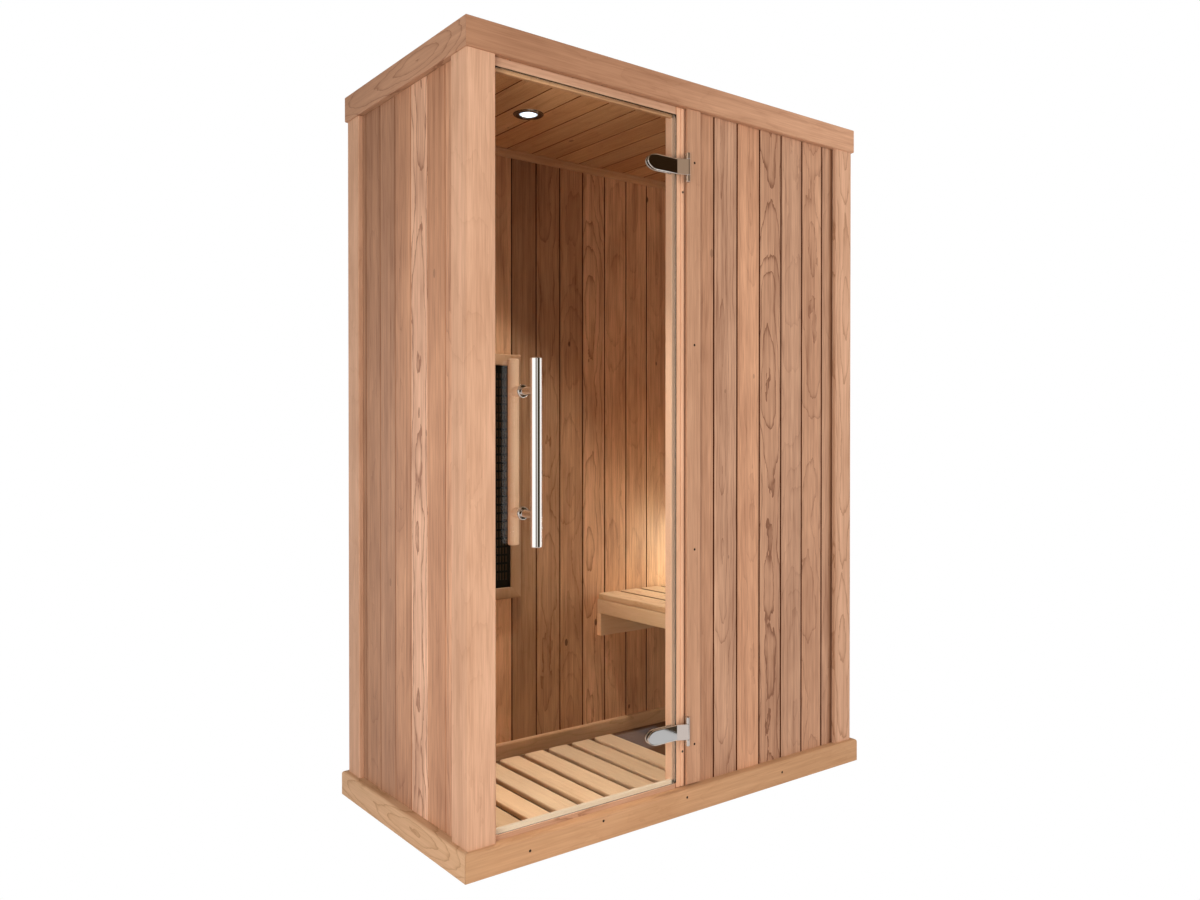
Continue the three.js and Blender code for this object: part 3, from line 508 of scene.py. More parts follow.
# Light passes through the pane for shadow and diffuse rays, so that the room behind it is lit
def glassMaterial(name, look):
    tree, surface, material = openMaterial(name, {
        "Base Color": (*look["colour"], 1), "Roughness": look["roughness"], "Metallic": 0.0,
        "Transmission Weight": 1.0, "IOR": look["ior"],
    })
    path = addNode(tree, "LightPath")
    passing = maths(tree, "MAXIMUM", path.outputs["Is Shadow Ray"], path.outputs["Is Diffuse Ray"])
    clear = addNode(tree, "BsdfTransparent")
    fill(tree, clear, {"Color": (*look["shadow"], 1)})
    whole = mixShaders(tree, passing, surface, clear)
    fill(tree, tree.nodes["Material Output"], {"Surface": whole.outputs[0]})
    return material


chrome = polishedMaterial("chrome", (0.80, 0.79, 0.78), 0.05)
darkChrome = polishedMaterial("darkChrome", (0.30, 0.28, 0.26), 0.12)
steel = polishedMaterial("steel", (0.62, 0.61, 0.60), 0.2)
nailHead = paintMaterial("nailHead", (0.03, 0.018, 0.012), 0.6, specular=0.1)
print("stage: materials ready")

# Boarded skins

boarding = {
    "pitch": 0.09,
    "grooveHalf": 0.0036,
    # place across the groove and share of its depth
    "dip": [[-1, 0], [-0.6, 0.06], [-0.5, 0.2], [-0.45, 1], [0.45, 1], [0.5, 0.2], [0.6, 0.06], [1, 0]],
}
# rows are the directions across, into and along the boards of a skin that faces outwards this way
outwardFaces = {"-Y": quarterTurn(0), "+X": quarterTurn(90), "+Y": quarterTurn(180), "-X": quarterTurn(270),
                "-Z": towardsFront}
# node, outward face, first seam, wood, seed, groove depth, colour kept in the seam as painted shade (partly
# the joint's own dark) and half its width
skins = [
    ("cladding_front", "-Y", 0.0124, "board", 11, 0.003, 0.2, 0.0028),
    ("cladding_left", "-X", 0.0227, "board", 31, 0.001, 0.85, 0.0021),
    ("cladding_right", "+X", 0.0227, "board", 51, 0.007, 0.2, 0.0021),
    ("cladding_rear", "+Y", 0.0227, "board", 71, 0.007, 0.2, 0.0021),
    ("lining_rear", "-Y", 0.0197, "lining", 91, 0.006, 0.15, 0.0021),
    ("lining_left", "+X", 0.0227, "lining", 111, 0.006, 0.15, 0.0021),
    ("lining_right", "-X", 0.0227, "lining", 131, 0.006, 0.15, 0.0021),
    ("lining_front", "+Y", 0.0227, "lining", 151, 0.006, 0.15, 0.0021),
    ("ceiling_boards", "-Z", 0.0197, "ceiling", 171, 0.006, 0.3, 0.0021),
]
# level, warmth and flame of the boards that show most, from the start of the run. They are partly each
# board's own tone and partly painted light: the left wall's boards darken towards the rear as painted shade,
# and the rear lining's boards towards the corner lamp are lighter as painted light from it
handTones = {
    "cladding_left": [(0.66, 1.04, 0.1), (0.72, 1.06, 0.2), (0.79, 1.03, 0.1), (0.92, 1.05, 0.2),
                      (1.34, 0.91, 1.0), (0.96, 1.06, 0.1), (1.1, 1.02, 0.3)],
    "cladding_front": [(1.0, 1.0, 0.1), (0.88, 1.04, 0.1), (0.90, 0.97, 0.45), (1.02, 1.04, 0.2),
                       (0.86, 1.0, 0.85), (0.88, 0.97, 0.2), (0.92, 1.0, 0.4), (0.9, 0.97, 0.2)],
    "lining_rear": [(1.0, 1.02, 0.2), (1.05, 1.03, 0.2), (0.88, 1.05, 0.2), (0.94, 1.02, 1.0),
                    (1.05, 0.99, 0.2), (1.15, 0.97, 0.2), (0.70, 1.02, 0.1), (0.85, 1.0, 0.5),
                    (0.97, 1.0, 0.3), (1.22, 0.96, 0.6), (1.24, 0.98, 0.25), (1.20, 0.99, 0.2),
                    (1.18, 0.98, 0.2), (1.15, 0.97, 0.2), (1.0, 0.96, 0.5)],
}
# the axis along which the tone changes, from, to, and the tone at each end
fades = {
    # painted shadow: the cladding darkens beside the right front post, where the post casts its shade
    "cladding_front": ("X", 0.5785, 0.594, 1.0, 0.35),
    "cladding_left": ("Z", 1.1, 1.8, 1.0, 0.85),
    # painted light and shade: the fascia's front is lighter to the right, and its left side is shaded, darker
    # towards the rear
    "fascia_front": ("X", -0.4, 0.6, 0.75, 1.12),
    "fascia_left": ("Y", 0.35, -0.35, 0.77, 0.87),
    # painted light and shade: the plinth's front is shaded and its left side lit
    "plinth_front": ("X", -0.6, 0.6, 0.89, 0.89),
    "plinth_left": ("Y", 0.35, -0.35, 1.07, 1.07),
    # painted shade: the bench apron, darkest at its foot
    "bench_apron": ("Z", 0.4, 0.47, 0.8, 0.88),
}


# The groove dips with the distance from its seam: eased shoulders and a narrow slot between them.
# The outline runs along the grooved face and back behind it, and is carried along the boards.
def boardedSkin(node, face, first, grooveDepth):
    basis = outwardFaces[face]
    corners = np.array(cadBox(node)) @ basis.T
    low, high = corners.min(axis=0), corners.max(axis=0)
    seams = np.arange(low[0] + first, high[0] - 2 * boarding["grooveHalf"], boarding["pitch"])
    dip = np.array(boarding["dip"])
    across = (seams[:, None] + dip[None, :, 0] * boarding["grooveHalf"]).ravel()
    inwards = np.broadcast_to(dip[:, 1] * grooveDepth, (len(seams), len(dip))).ravel()
    across = np.concatenate([[low[0]], across, [high[0], high[0], low[0]]])
    inwards = np.concatenate([[0], inwards, [0, high[1] - low[1], high[1] - low[1]]]) + low[1]
    rows = [np.stack([across, inwards, np.full_like(across, end)], axis=1) for end in (low[2], high[2])]
    return loft(np.stack(rows) @ basis), low[0] + first, len(seams) + 1


for node, face, first, wood, seed, depth, kept, half in skins:
    solid, origin, count = boardedSkin(node, face, first, depth)
    run = {"pitch": boarding["pitch"], "count": count, "flip": face in ("+Y", "-X"),
           "tones": handTones.get(node, ()), "seamShadeKept": kept, "seamHalf": half}
    along, across = ("Y" if face == "-Z" else "Z"), ("Y" if face[1] == "X" else "X")
    material = woodMaterial(node + "Wood", wood, along, across, origin, seed, fades.get(node), run)
    slotName = "cedar_boards" if wood == "board" else "cedar_lining"
    makePiece(node + "Look", solid, "cabin", slotName, material, node, sharp=8)
print("stage: boarded skins")

# Corner posts, plinth and fascia

postLook = {"face": 0.075, "leg": 0.037, "ease": 0.006, "arris": 0.002, "arcSteps": 6, "pith": 0.03,
            "seed": 201}
doorStop = {"gap": 0.003, "width": 0.01}  # behind the glass
plinthTop = cadBox("plinth_front")[1][2]
fasciaBottom = cadBox("fascia_front")[0][2]
glassLow, glassHigh = cadBox("door_glass")
stopFront = glassHigh[1] + doorStop["gap"]
postLow, postHigh = cadBox("corner_post_front_right")
bodyX, bodyY = postHigh[0], -postLow[1]
posts = [("front_left", -1, -1, 0), ("front_right", 1, -1, 90), ("rear_right", 1, 1, 180),
         ("rear_left", -1, 1, 270)]


# The L-shaped outline of a post from its rounded outer corner; lip is more outline inside it
def postLoop(lip):
    face, leg, ease, arris = (postLook[key] for key in ("face", "leg", "ease", "arris"))
    t = np.linspace(np.pi, 3 * quarter, postLook["arcSteps"])
    arc = ease + ease * np.stack([np.cos(t), np.sin(t)], axis=1)
    front = [[face - arris, 0], [face, arris]]
    inner = [[face, leg], [leg, leg], [leg, face], [arris, face], [0, face - arris]]
    return np.concatenate([arc, front, np.reshape(lip, (-1, 2)), inner])


for i, (corner, sideX, sideY, turn) in enumerate(posts):
    node = "corner_post_" + corner
    lip = []
    if corner == "front_left":  # the door's stop is part of this post
        stopLow, stopHigh = stopFront + bodyY, stopFront + bodyY + doorStop["width"]
        reach = cadBox(node)[1][0] + bodyX
        lip = [[postLook["face"], stopLow], [reach, stopLow], [reach, stopHigh], [postLook["face"], stopHigh]]
    loop = postLoop(lip)
    rows = [np.column_stack([loop, np.full(len(loop), z)]) for z in (plinthTop, fasciaBottom)]
    solid = shift(loft(np.stack(rows) @ quarterTurn(turn)), (sideX * bodyX, sideY * bodyY, 0))
    pith = sideX * (bodyX - postLook["pith"])
    material = woodMaterial(node + "Wood", "post", "Z", "X", pith, postLook["seed"] + i)
    makePiece(node + "Look", solid, "cabin", "cedar_frame", material, node, sharp=10)

ringLooks = {
    "plinth": {"eases": (0.0015, 0.008), "gap": 0.0004, "slot": "pale_slats", "wood": "pale"},
    "fascia": {"eases": (0.004, 0.003), "gap": 0.0003, "slot": "cedar_frame", "wood": "fascia"},
}
ringSeed, ringSeedStep = 227, 3.7
mitreSpare = 0.0006  # added to a board's length, to make up for the gaps at its ends
quarterTurns = {"front": 0, "right": 90, "rear": 180, "left": 270}


# A side of a ring's box: the axis along its board, the middle of its outer lower edge, and the box's size
def ringSide(node, side):
    low, high = cadBox(node)
    along = 0 if side in ("front", "rear") else 1
    base = (low + high) / 2
    base[2] = low[2]
    base[1 - along] = (low if side in ("front", "left") else high)[1 - along]
    return along, base, high - low


# Section as depth and height from the outer lower corner, with rounded outer edges
def ringSection(thickness, height, lower, upper):
    t = np.linspace(0, quarter, 6)
    lowerArc = np.stack([lower * (1 - np.cos(t)), lower * (1 - np.sin(t))], axis=1)
    upperArc = np.stack([upper * (1 - np.sin(t)), height - upper * (1 - np.cos(t))], axis=1)
    return np.concatenate([lowerArc, [[thickness, 0], [thickness, height]], upperArc])


for ring, look in ringLooks.items():
    for i, (side, turn) in enumerate(quarterTurns.items()):
        node = f"{ring}_{side}"
        along, base, size = ringSide(node, side)
        section = ringSection(size[1 - along], size[2], *look["eases"])
        solid = mitredBoard(section, size[along] + mitreSpare, base, turn, look["gap"])
        material = woodMaterial(node + "Wood", look["wood"], "XY"[along], "Z", base[2] + size[2] / 2,
                                ringSeed + ringSeedStep * i, fades.get(node))
        makePiece(node + "Look", solid, "cabin", look["slot"], material, node, sharp=10)
print("stage: posts, plinth and fascia")

# Door frame, casing and mouldings: single boards with eased edges

frameLook = {"jambEase": 0.003, "jambGroove": 0.0006, "jambClear": 0.0025, "stopEase": 0.0012, "lap": 0.002,
             "sillEase": 0.0015, "sillClear": 0.0015, "stopSeed": 246}
casingLook = {"mortise": 0.0035, "clear": 0.0004, "ease": 0.002}


# One board in the place of its node, with its pith in the middle
def plainBoard(node, wood, slotName, along, across, seed, solid, fade=None):
    low, high = cadBox(node)
    middle = (low + high)["XYZ".index(across)] / 2
    material = woodMaterial(node + "Wood", wood, along, across, middle, seed, fade)
    makePiece(node + "Look", solid, "cabin", slotName, material, node)


stopWidth, stopEase, lap = doorStop["width"], frameLook["stopEase"], frameLook["lap"]
stopBack = stopFront + stopWidth
jambLow, jambHigh = cadBox("hinge_jamb")
jambLeft = jambLow[0] + stopWidth + frameLook["jambClear"]
jambMiddle = (jambLeft + jambHigh[0]) / 2
jamb = gather(*[
    easedBlock((left, jambLow[1], plinthTop), (right, jambHigh[1], fasciaBottom), frameLook["jambEase"])
    for left, right in ((jambLeft, jambMiddle), (jambMiddle + frameLook["jambGroove"], jambHigh[0]))
])
plainBoard("hinge_jamb", "jamb", "cedar_frame", "Z", "X", 241, jamb)
headLow, headHigh = cadBox("door_head")
headBottom = headLow[2] + stopWidth
head = easedBlock((headLow[0], headLow[1], headBottom), headHigh, stopEase)
plainBoard("door_head", "post", "cedar_frame", "X", "Z", 242, head)
sillLow, sillHigh = cadBox("threshold")
sillTop = glassLow[2] - frameLook["sillClear"]
sill = easedBlock(sillLow, (sillHigh[0], sillHigh[1], sillTop), frameLook["sillEase"])
plainBoard("threshold", "post", "pale_slats", "X", "Z", 243, sill)
jambStop = easedBlock((jambLow[0], stopFront, plinthTop), (jambLeft + lap, jambHigh[1], fasciaBottom),
                      stopEase)
headStop = easedBlock((headLow[0], stopFront, headLow[2]), (headHigh[0], stopBack, headBottom + lap),
                      stopEase)
sillStop = easedBlock((sillLow[0], stopFront, sillTop - lap), (sillHigh[0], stopBack, sillHigh[2]),
                      frameLook["sillEase"])
for name, stop, wood, along, across, place in (
    ("jambStop", jambStop, "stop", "Z", "X", jambLow[0]),
    ("headStop", headStop, "lining", "X", "Z", headLow[2]),
    ("sillStop", sillStop, "cream", "X", "Z", sillTop),
):
    material = woodMaterial(name + "Wood", wood, along, across, place, frameLook["stopSeed"])
    makePiece(name + "Look", stop, "cabin", "cedar_frame", material)

# The casing is mortised at the hinges: its outline in X and Z steps in round each bracket
casingLow, casingHigh = cadBox("hinge_casing")
heights = [casingLow[2]]
for place in ("lower", "upper"):
    bracketLow, bracketHigh = cadBox("hinge_bracket_" + place)
    heights += [bracketLow[2] - casingLook["clear"], bracketHigh[2] + casingLook["clear"]]
heights.append(casingHigh[2])
leftEdge = np.repeat(heights[::-1], 2)[1:-1]
stepIn = casingLow[0] + casingLook["mortise"] * np.tile([0, 0, 1, 1], 3)[: len(leftEdge)]
casingLoop = np.concatenate([
    [[casingLow[0], heights[0]], [casingHigh[0], heights[0]]],
    [[casingHigh[0], heights[-1]], [casingLow[0], heights[-1]]],
    np.column_stack([stepIn, leftEdge])[1:-1],
])
casing = easedPlate(casingLoop, -casingHigh[1], -casingLow[1], casingLook["ease"], towardsFront)
plainBoard("hinge_casing", "fascia", "cedar_frame", "Z", "X", 244, casing)

# Painted shade: a dark strip in the rebate along the top and the hinge edge of the glass stands in for the
# shadow in the gap there
gapShadeLook = {"gap": 0.0004, "depth": 0.005, "ease": 0.0004, "clear": 0.0001, "colour": (0.012, 0.009, 0.007)}
gapShadeFront, gapShadeRight = glassHigh[1] - gapShadeLook["depth"], jambLeft - gapShadeLook["clear"]
gapShadeSide = easedBlock((glassHigh[0] + gapShadeLook["gap"], gapShadeFront, glassLow[2]),
                      (gapShadeRight, glassHigh[1], headBottom), gapShadeLook["ease"])
gapShadeTop = easedBlock((glassLow[0], gapShadeFront, glassHigh[2] + gapShadeLook["gap"]),
                     (gapShadeRight, glassHigh[1], headBottom - gapShadeLook["clear"]), gapShadeLook["ease"])
gapShadeStrip = paintMaterial("paintedDoorGapShade", gapShadeLook["colour"], 0.7, specular=0.05)
makePiece("doorGapShadeLook", gather(gapShadeSide, gapShadeTop), "cabin", "black_steel", gapShadeStrip)

# Nail heads: a shallow dome at each place in X and Z on a front face
nails = {"radius": 0.0035, "rise": 0.0006, "tip": 0.0001, "rows": 4, "steps": 12}
nailPlaces = {
    "hinge_casing": [(0.0215, 1.7385), (0.0225, 0.1745), (0.0215, 1.25), (0.0225, 0.70)],
    "hinge_jamb": [(-0.0135, 1.6565), (-0.0135, 0.1595)],
    "plinth_front": [(-0.517, 0.032), (-0.02, 0.045), (0.35, 0.034), (-0.30, 0.05)],
}
dome = np.linspace(quarter, 0, nails["rows"])
nailRadius = np.maximum(nails["radius"] * np.sin(dome), nails["tip"])
nailProfile = np.column_stack([nailRadius, nails["rise"] * np.cos(dome)])
heads = [
    spin(nailProfile, (x, cadBox(node)[0][1], z), towardsFront, nails["steps"])
    for node, places in nailPlaces.items() for x, z in places
]
makePiece("nailHeads", gather(*heads), "cabin", "pin_steel", nailHead)

mouldingGap = 0.0002


# Lengths of moulding round the room: each is a mitred board whose outer face is on the wall
def roomMoulding(node, section, sides):
    lengths = []
    for side in sides:
        along, base, size = ringSide(node, side)
        lengths.append(mitredBoard(section, size[along], base, quarterTurns[side], mouldingGap))
    return gather(*lengths)


# A quarter-round section with a lip on the wall below and a step at the ceiling
coveLook = {"depth": 0.017, "lip": 0.004, "sweepDepth": 0.011, "sweepHeight": 0.016, "step": 0.017}
coveLow, coveHigh = cadBox("ceiling_cove")
coveHeight, coveDepth = coveHigh[2] - coveLow[2], coveLook["depth"]
bend = np.linspace(0, quarter, 9)
coveSweep = np.column_stack([coveLook["lip"] + coveLook["sweepDepth"] * np.sin(bend),
                             coveLook["sweepHeight"] * (1 - np.cos(bend))])
coveSection = np.concatenate([
    [[0, 0], [coveLook["lip"], 0]], coveSweep,
    [[coveDepth, coveLook["step"]], [coveDepth, coveHeight], [0, coveHeight]],
])
coveWood = woodMaterial("coveWood", "pale", "X", "Z", 0.0, 251)
makePiece("ceilingCoveLook", roomMoulding("ceiling_cove", coveSection, quarterTurns), "cabin", "cedar_frame",
          coveWood, "ceiling_cove", sharp=15)

# A flat section with a round upper edge; the front length runs from the jamb
skirtLook = {"depth": 0.013, "ease": 0.007, "frontEase": 0.003, "pith": 0.045}
skirtLow, skirtHigh = cadBox("skirting")
skirtHeight, skirtDepth, skirtEase = skirtHigh[2] - skirtLow[2], skirtLook["depth"], skirtLook["ease"]
skirtArc = np.column_stack([skirtDepth - skirtEase * (1 - np.cos(bend)),
                            skirtHeight - skirtEase * (1 - np.sin(bend))])
skirtSection = np.concatenate([[[0, 0], [skirtDepth, 0]], skirtArc, [[0, skirtHeight]]])
skirtFront = easedBlock((jambHigh[0], skirtLow[1], skirtLow[2]),
                        (skirtHigh[0] - skirtDepth, skirtLow[1] + skirtDepth, skirtHigh[2]),
                        skirtLook["frontEase"])
skirtRuns = roomMoulding("skirting", skirtSection, ("right", "rear", "left"))
skirtWood = woodMaterial("skirtingWood", "skirting", "X", "Z", skirtLook["pith"], 252)
makePiece("skirtingLook", gather(skirtRuns, skirtFront), "cabin", "pale_slats", skirtWood, "skirting",
          sharp=15)
print("stage: frame and mouldings")

# Bench and duckboard

benchLook = {"slats": 5, "ease": 0.004, "corner": 0.012, "inset": 0.002, "apronEase": 0.003, "paintedTopLight": 1.12,
             "paintedSideShade": 0.85, "paintedGapShade": 0.2, "shadeFrom": 0.0004, "shadeTo": 0.0024, "ledgerPith": 0.4}
for i in range(1, benchLook["slats"] + 1):
    node = f"bench_slat_{i}"
    low, high = cadBox(node)
    inset = np.array([benchLook["inset"], 0])  # at a gap, not at the bench's own ends
    loop = roundedLoop(low[:2] + inset * (i > 1), high[:2] - inset * (i < benchLook["slats"]),
                       benchLook["corner"], 7)
    # painted light and shade: the tops get a painted highlight and the sides painted shade, darkest at the
    # gaps after the first slat
    shade = ("Z", high[2] - benchLook["shadeFrom"], high[2] - benchLook["shadeTo"],
             benchLook["paintedTopLight"], benchLook["paintedGapShade" if i > 1 else "paintedSideShade"])
    slat = easedPlate(loop, low[2], high[2], benchLook["ease"])
    plainBoard(node, "slat", "pale_slats", "Y", "X", 260 + i, slat, shade)
apron = easedBlock(*cadBox("bench_apron"), benchLook["apronEase"])
plainBoard("bench_apron", "slat", "cedar_frame", "Y", "Z", 271, apron, fades["bench_apron"])
for node in ("bench_ledger_front", "bench_ledger_rear"):
    dress(node, woodMaterial(node + "Wood", "slat", "X", "Z", benchLook["ledgerPith"], 272))

duckLook = {"ease": 0.0035, "corner": 0.010, "count": 9, "width": 0.069, "thickness": 0.014}
bearerLook = {"inset": 0.06, "half": 0.02, "end": 0.009, "sink": 0.003, "ease": 0.001}
duckLow, duckHigh = cadBox("duckboard")
duckPitch = (duckHigh[0] - duckLow[0] - duckLook["width"]) / (duckLook["count"] - 1)
slatBase = duckHigh[2] - duckLook["thickness"]
duckLoop = roundedLoop(duckLow[:2], (duckLow[0] + duckLook["width"], duckHigh[1]), duckLook["corner"], 7)
duckSlat = easedPlate(duckLoop, slatBase, duckHigh[2], duckLook["ease"])
duckSlats = [shift(duckSlat, (i * duckPitch, 0, 0)) for i in range(duckLook["count"])]
duckRun = {"pitch": duckPitch, "count": duckLook["count"] + 1}
duckOrigin = duckLow[0] - (duckPitch - duckLook["width"]) / 2
duckWood = woodMaterial("duckboardWood", "slat", "Y", "X", duckOrigin, 281, run=duckRun)
makePiece("duckboardLook", gather(*duckSlats), "duckboard", "pale_slats", duckWood, "duckboard")
bearers = [
    easedBlock((duckLow[0] + bearerLook["end"], y - bearerLook["half"], duckLow[2]),
               (duckHigh[0] - bearerLook["end"], y + bearerLook["half"], slatBase + bearerLook["sink"]),
               bearerLook["ease"])
    for y in np.linspace(duckLow[1] + bearerLook["inset"], duckHigh[1] - bearerLook["inset"], 3)
]
bearerWood = woodMaterial("bearerWood", "floor", "X", "Y", 0.0, 285)
makePiece("duckboardBearers", gather(*bearers), "duckboard", "pale_slats", bearerWood)
print("stage: bench and duckboard")

# Heater: four mitred frame members, a slotted sheet and the panel behind it

heaterLook = {"member": 0.034, "ease": 0.0035, "gap": 0.0003, "pith": 0.017}
heatLow, heatHigh = cadBox("heater_frame")


# A member's section is across the member and out from the wall; its ends slope with the depth across
def heaterFrame():
    width, depth, height = heatHigh - heatLow
    loop = roundedLoop((0, 0), (heaterLook["member"], depth), heaterLook["ease"], 4)
    centre = np.array([(heatLow[0] + heatHigh[0]) / 2, heatHigh[1], (heatLow[2] + heatHigh[2]) / 2])
    members = []
    for turn in quarterTurns.values():
        run, reach = (width, height) if turn % 180 == 0 else (height, width)
        ends = run / 2 - loop[:, 0] - heaterLook["gap"]
        rows = [np.column_stack([end * ends, -loop[:, 1], loop[:, 0] - reach / 2]) for end in (1, -1)]
        members.append(shift(loft(np.stack(rows) @ quarterTurn(turn, (0, 2, 1))), centre))
    return gather(*members)


frameWood = woodMaterial("heaterFrameWood", "heater", "Z", "X", heatHigh[0] - heaterLook["pith"], 291)
makePiece("heaterFrameLook", heaterFrame(), "cabin", "cedar_frame", frameWood, "heater_frame", sharp=30)

# In X, Y and Z: the pitch and width of bars, the border, and how near it a bar may come. Bars end short
# of the sheet's edge, and cross bars are set back.
grilleLook = {"pitch": (0.010, 0, 0.0254), "bar": (0.0038, 0, 0.0065), "border": (0.011, 0, 0.0235),
              "near": (0.004, 0, 0.012), "end": 0.001, "back": 0.0002, "ease": 0.0003}


# Upright bars and cross bars of the sheet between its slots, and a border round them
def heaterGrille():
    low, high = cadBox("heater_grille")
    pitch, bar, border, near = (np.array(grilleLook[key]) for key in ("pitch", "bar", "border", "near"))
    inLow, inHigh = low + border, high - border
    first, last = inLow + pitch, inHigh - near
    barsX, barsZ = (np.arange(first[i], last[i], pitch[i]) for i in (0, 2))
    halfX, halfZ = bar[0] / 2, bar[2] / 2
    end, back = grilleLook["end"], grilleLook["back"]
    blocks = [((x - halfX, low[1], low[2] + end), (x + halfX, high[1], high[2] - end)) for x in barsX]
    blocks += [
        ((low[0] + end, low[1] + back, z - halfZ), (high[0] - end, high[1] - back, z + halfZ)) for z in barsZ
    ]
    blocks += [
        (low, (inLow[0], high[1], high[2])),
        ((inHigh[0], low[1], low[2]), high),
        (low, (high[0], high[1], inLow[2])),
        ((low[0], low[1], inHigh[2]), high),
    ]
    return gather(*[easedBlock(*block, grilleLook["ease"]) for block in blocks])


blackSteel = paintMaterial("blackSteel", (0.006, 0.005, 0.004), 0.5, specular=0.1)
makePiece("heaterGrilleLook", heaterGrille(), "cabin", "black_steel", blackSteel, "heater_grille")
print("stage: heater")

# Lamps

lampLook = {
    "lens": {"core": (1.0, 1.0, 1.0), "edge": (0.62, 0.80, 1.0), "coreGlow": 6.0, "edgeGlow": 0.7},
    "corner": {"core": (1.0, 0.93, 0.78), "edge": (1.0, 0.88, 0.66), "coreGlow": 4.0, "edgeGlow": 3.0},
    "cornerReach": 0.02,
    "cornerEase": 0.004,
}
bezelLow, bezelHigh = cadBox("downlight_bezel")
lensLow, lensHigh = cadBox("downlight_lens")
lampX, lampY = ((bezelLow + bezelHigh) / 2)[:2]
ceiling = fasciaBottom
bezelRadius, lensRadius = (bezelHigh[0] - bezelLow[0]) / 2, (lensHigh[0] - lensLow[0]) / 2
rim = bezelLow[2] - ceiling  # below the ceiling, so less than 0
# rows of radius and height: down the bore, round the rim, back under the ceiling and up behind it
bezelProfile = [
    (lensRadius + 0.0005, 0.004), (lensRadius + 0.0005, rim * 0.4), (lensRadius + 0.002, rim * 0.8),
    (lensRadius + 0.006, rim), (bezelRadius - 0.007, rim), (bezelRadius - 0.003, rim * 0.85),
    (bezelRadius - 0.0008, rim * 0.45), (bezelRadius, -0.0002), (bezelRadius - 0.01, -0.0002),
    (bezelRadius - 0.01, 0.034), (lensRadius, 0.034),
]
# a shallow bulge below, a flat back above
lensProfile = [(0.001, -0.0026), (lensRadius * 0.5, -0.0023), (lensRadius * 0.9, -0.0012), (lensRadius, 0.0),
               (lensRadius, 0.0038), (0.001, 0.004)]
bezel = spin(bezelProfile, (lampX, lampY, ceiling), steps=64)
makePiece("downlightBezelLook", bezel, "cabin", "dark_chrome", darkChrome, "downlight_bezel")
lensGlow = glowMaterial("lensGlow", lampLook["lens"], (lampX, lampY), lensRadius)
lens = spin(lensProfile, (lampX, lampY, ceiling))
makePiece("downlightLensLook", lens, "cabin", "lamp_lens", lensGlow, "downlight_lens")
cornerLow, cornerHigh = cadBox("corner_lamp")
cornerMiddle = (cornerLow + cornerHigh) / 2
cornerGlow = glowMaterial("cornerGlow", lampLook["corner"], cornerMiddle, lampLook["cornerReach"])
cornerLamp = easedBlock(cornerLow, cornerHigh, lampLook["cornerEase"])
makePiece("cornerLampLook", cornerLamp, "cabin", "lamp_lens", cornerGlow, "corner_lamp")
print("stage: lamps")

# Glass door

glassLook = {"colour": (0.985, 1.0, 0.99), "roughness": 0.0, "ior": 1.45, "shadow": (0.95, 0.93, 0.90),
             "corner": 0.012, "ease": 0.0008}
glassLoop = roundedLoop((glassLow[0], glassLow[2]), (glassHigh[0], glassHigh[2]), glassLook["corner"], 9)
glass = easedPlate(glassLoop, -glassHigh[1], -glassLow[1], glassLook["ease"], towardsFront, 3)
clearGlass = glassMaterial("clearGlass", glassLook)
makePiece("doorGlassLook", glass, "door", "clear_glass", clearGlass, "door_glass", sharp=10)

# Hinges

hingeLook = {
    "leafThickness": 0.005, "leafEase": 0.0026, "leafLap": 0.004, "tip": 0.034,
    "endWidth": 0.01, "endCorner": 0.0012,
    "bend": 0.031, "bendEase": 0.0006,
    "bendStop": 0.4, "bendFront": 0.92, "bendBack": 0.6,  # from the pin's axis, in barrel radii
    "barrelEase": 0.001, "clear": 0.0004,
    "plate": 0.003, "plateEase": 0.0005, "plateClear": 0.0005, "lugEase": 0.0003, "lugLap": 0.001,
}


# D-shaped loop in X and Z: half an ellipse at the tip, straight with small corners at the pin end
def leafLoop(left, right, low, high):
    t = np.linspace(quarter, 3 * quarter, 33)
    middle, half = (low + high) / 2, (high - low) / 2
    tip = np.column_stack([left + hingeLook["tip"] * (1 + np.cos(t)), middle + half * np.sin(t)])
    ends = roundedLoop((right - hingeLook["endWidth"], middle - half), (right, middle + half),
                       hingeLook["endCorner"], 4)
    return np.concatenate([tip, ends[:8]])


# A leaf's plate, from its back towards the front
def leafPlate(left, right, low, high, back):
    front = back - hingeLook["leafThickness"]
    return easedPlate(leafLoop(left, right, low, high), -back, -front, hingeLook["leafEase"], towardsFront, 5)


# The pin's axis and the radius of its barrels, which fill the front of the bracket's box
def barrelOf(place):
    low, high = cadBox("hinge_bracket_" + place)
    radius = (high[0] - low[0]) / 2
    return low[0] + radius, low[1] + radius, radius


def barrel(place, bottom, top):
    axisX, axisY, radius = barrelOf(place)
    return spin(barProfile(radius, bottom, top, hingeLook["barrelEase"]), (axisX, axisY, 0))


# A plate, a barrel and the bend between them, whose outline in X and Y is carried up the leaf
def hingeLeaf(place):
    low, high = cadBox("hinge_leaf_" + place)
    axisX, axisY, radius = barrelOf(place)
    back, front = high[1], high[1] - hingeLook["leafThickness"]
    bendLeft = axisX - hingeLook["bend"]
    plate = leafPlate(low[0], bendLeft + hingeLook["leafLap"], low[2], high[2], back)
    t = np.linspace(0, 1, 7)
    across = bendLeft + t * (hingeLook["bend"] - radius * hingeLook["bendStop"])
    frontEdge = np.column_stack([across, front + t * (axisY - radius * hingeLook["bendFront"] - front)])
    backEdge = np.column_stack([across, back + t * (axisY + radius * hingeLook["bendBack"] - back)])
    bendLoop = np.concatenate([frontEdge, backEdge[::-1]])
    bend = easedPlate(bendLoop, low[2], high[2], hingeLook["bendEase"], steps=3)
    return gather(plate, bend, barrel(place, low[2], high[2]))


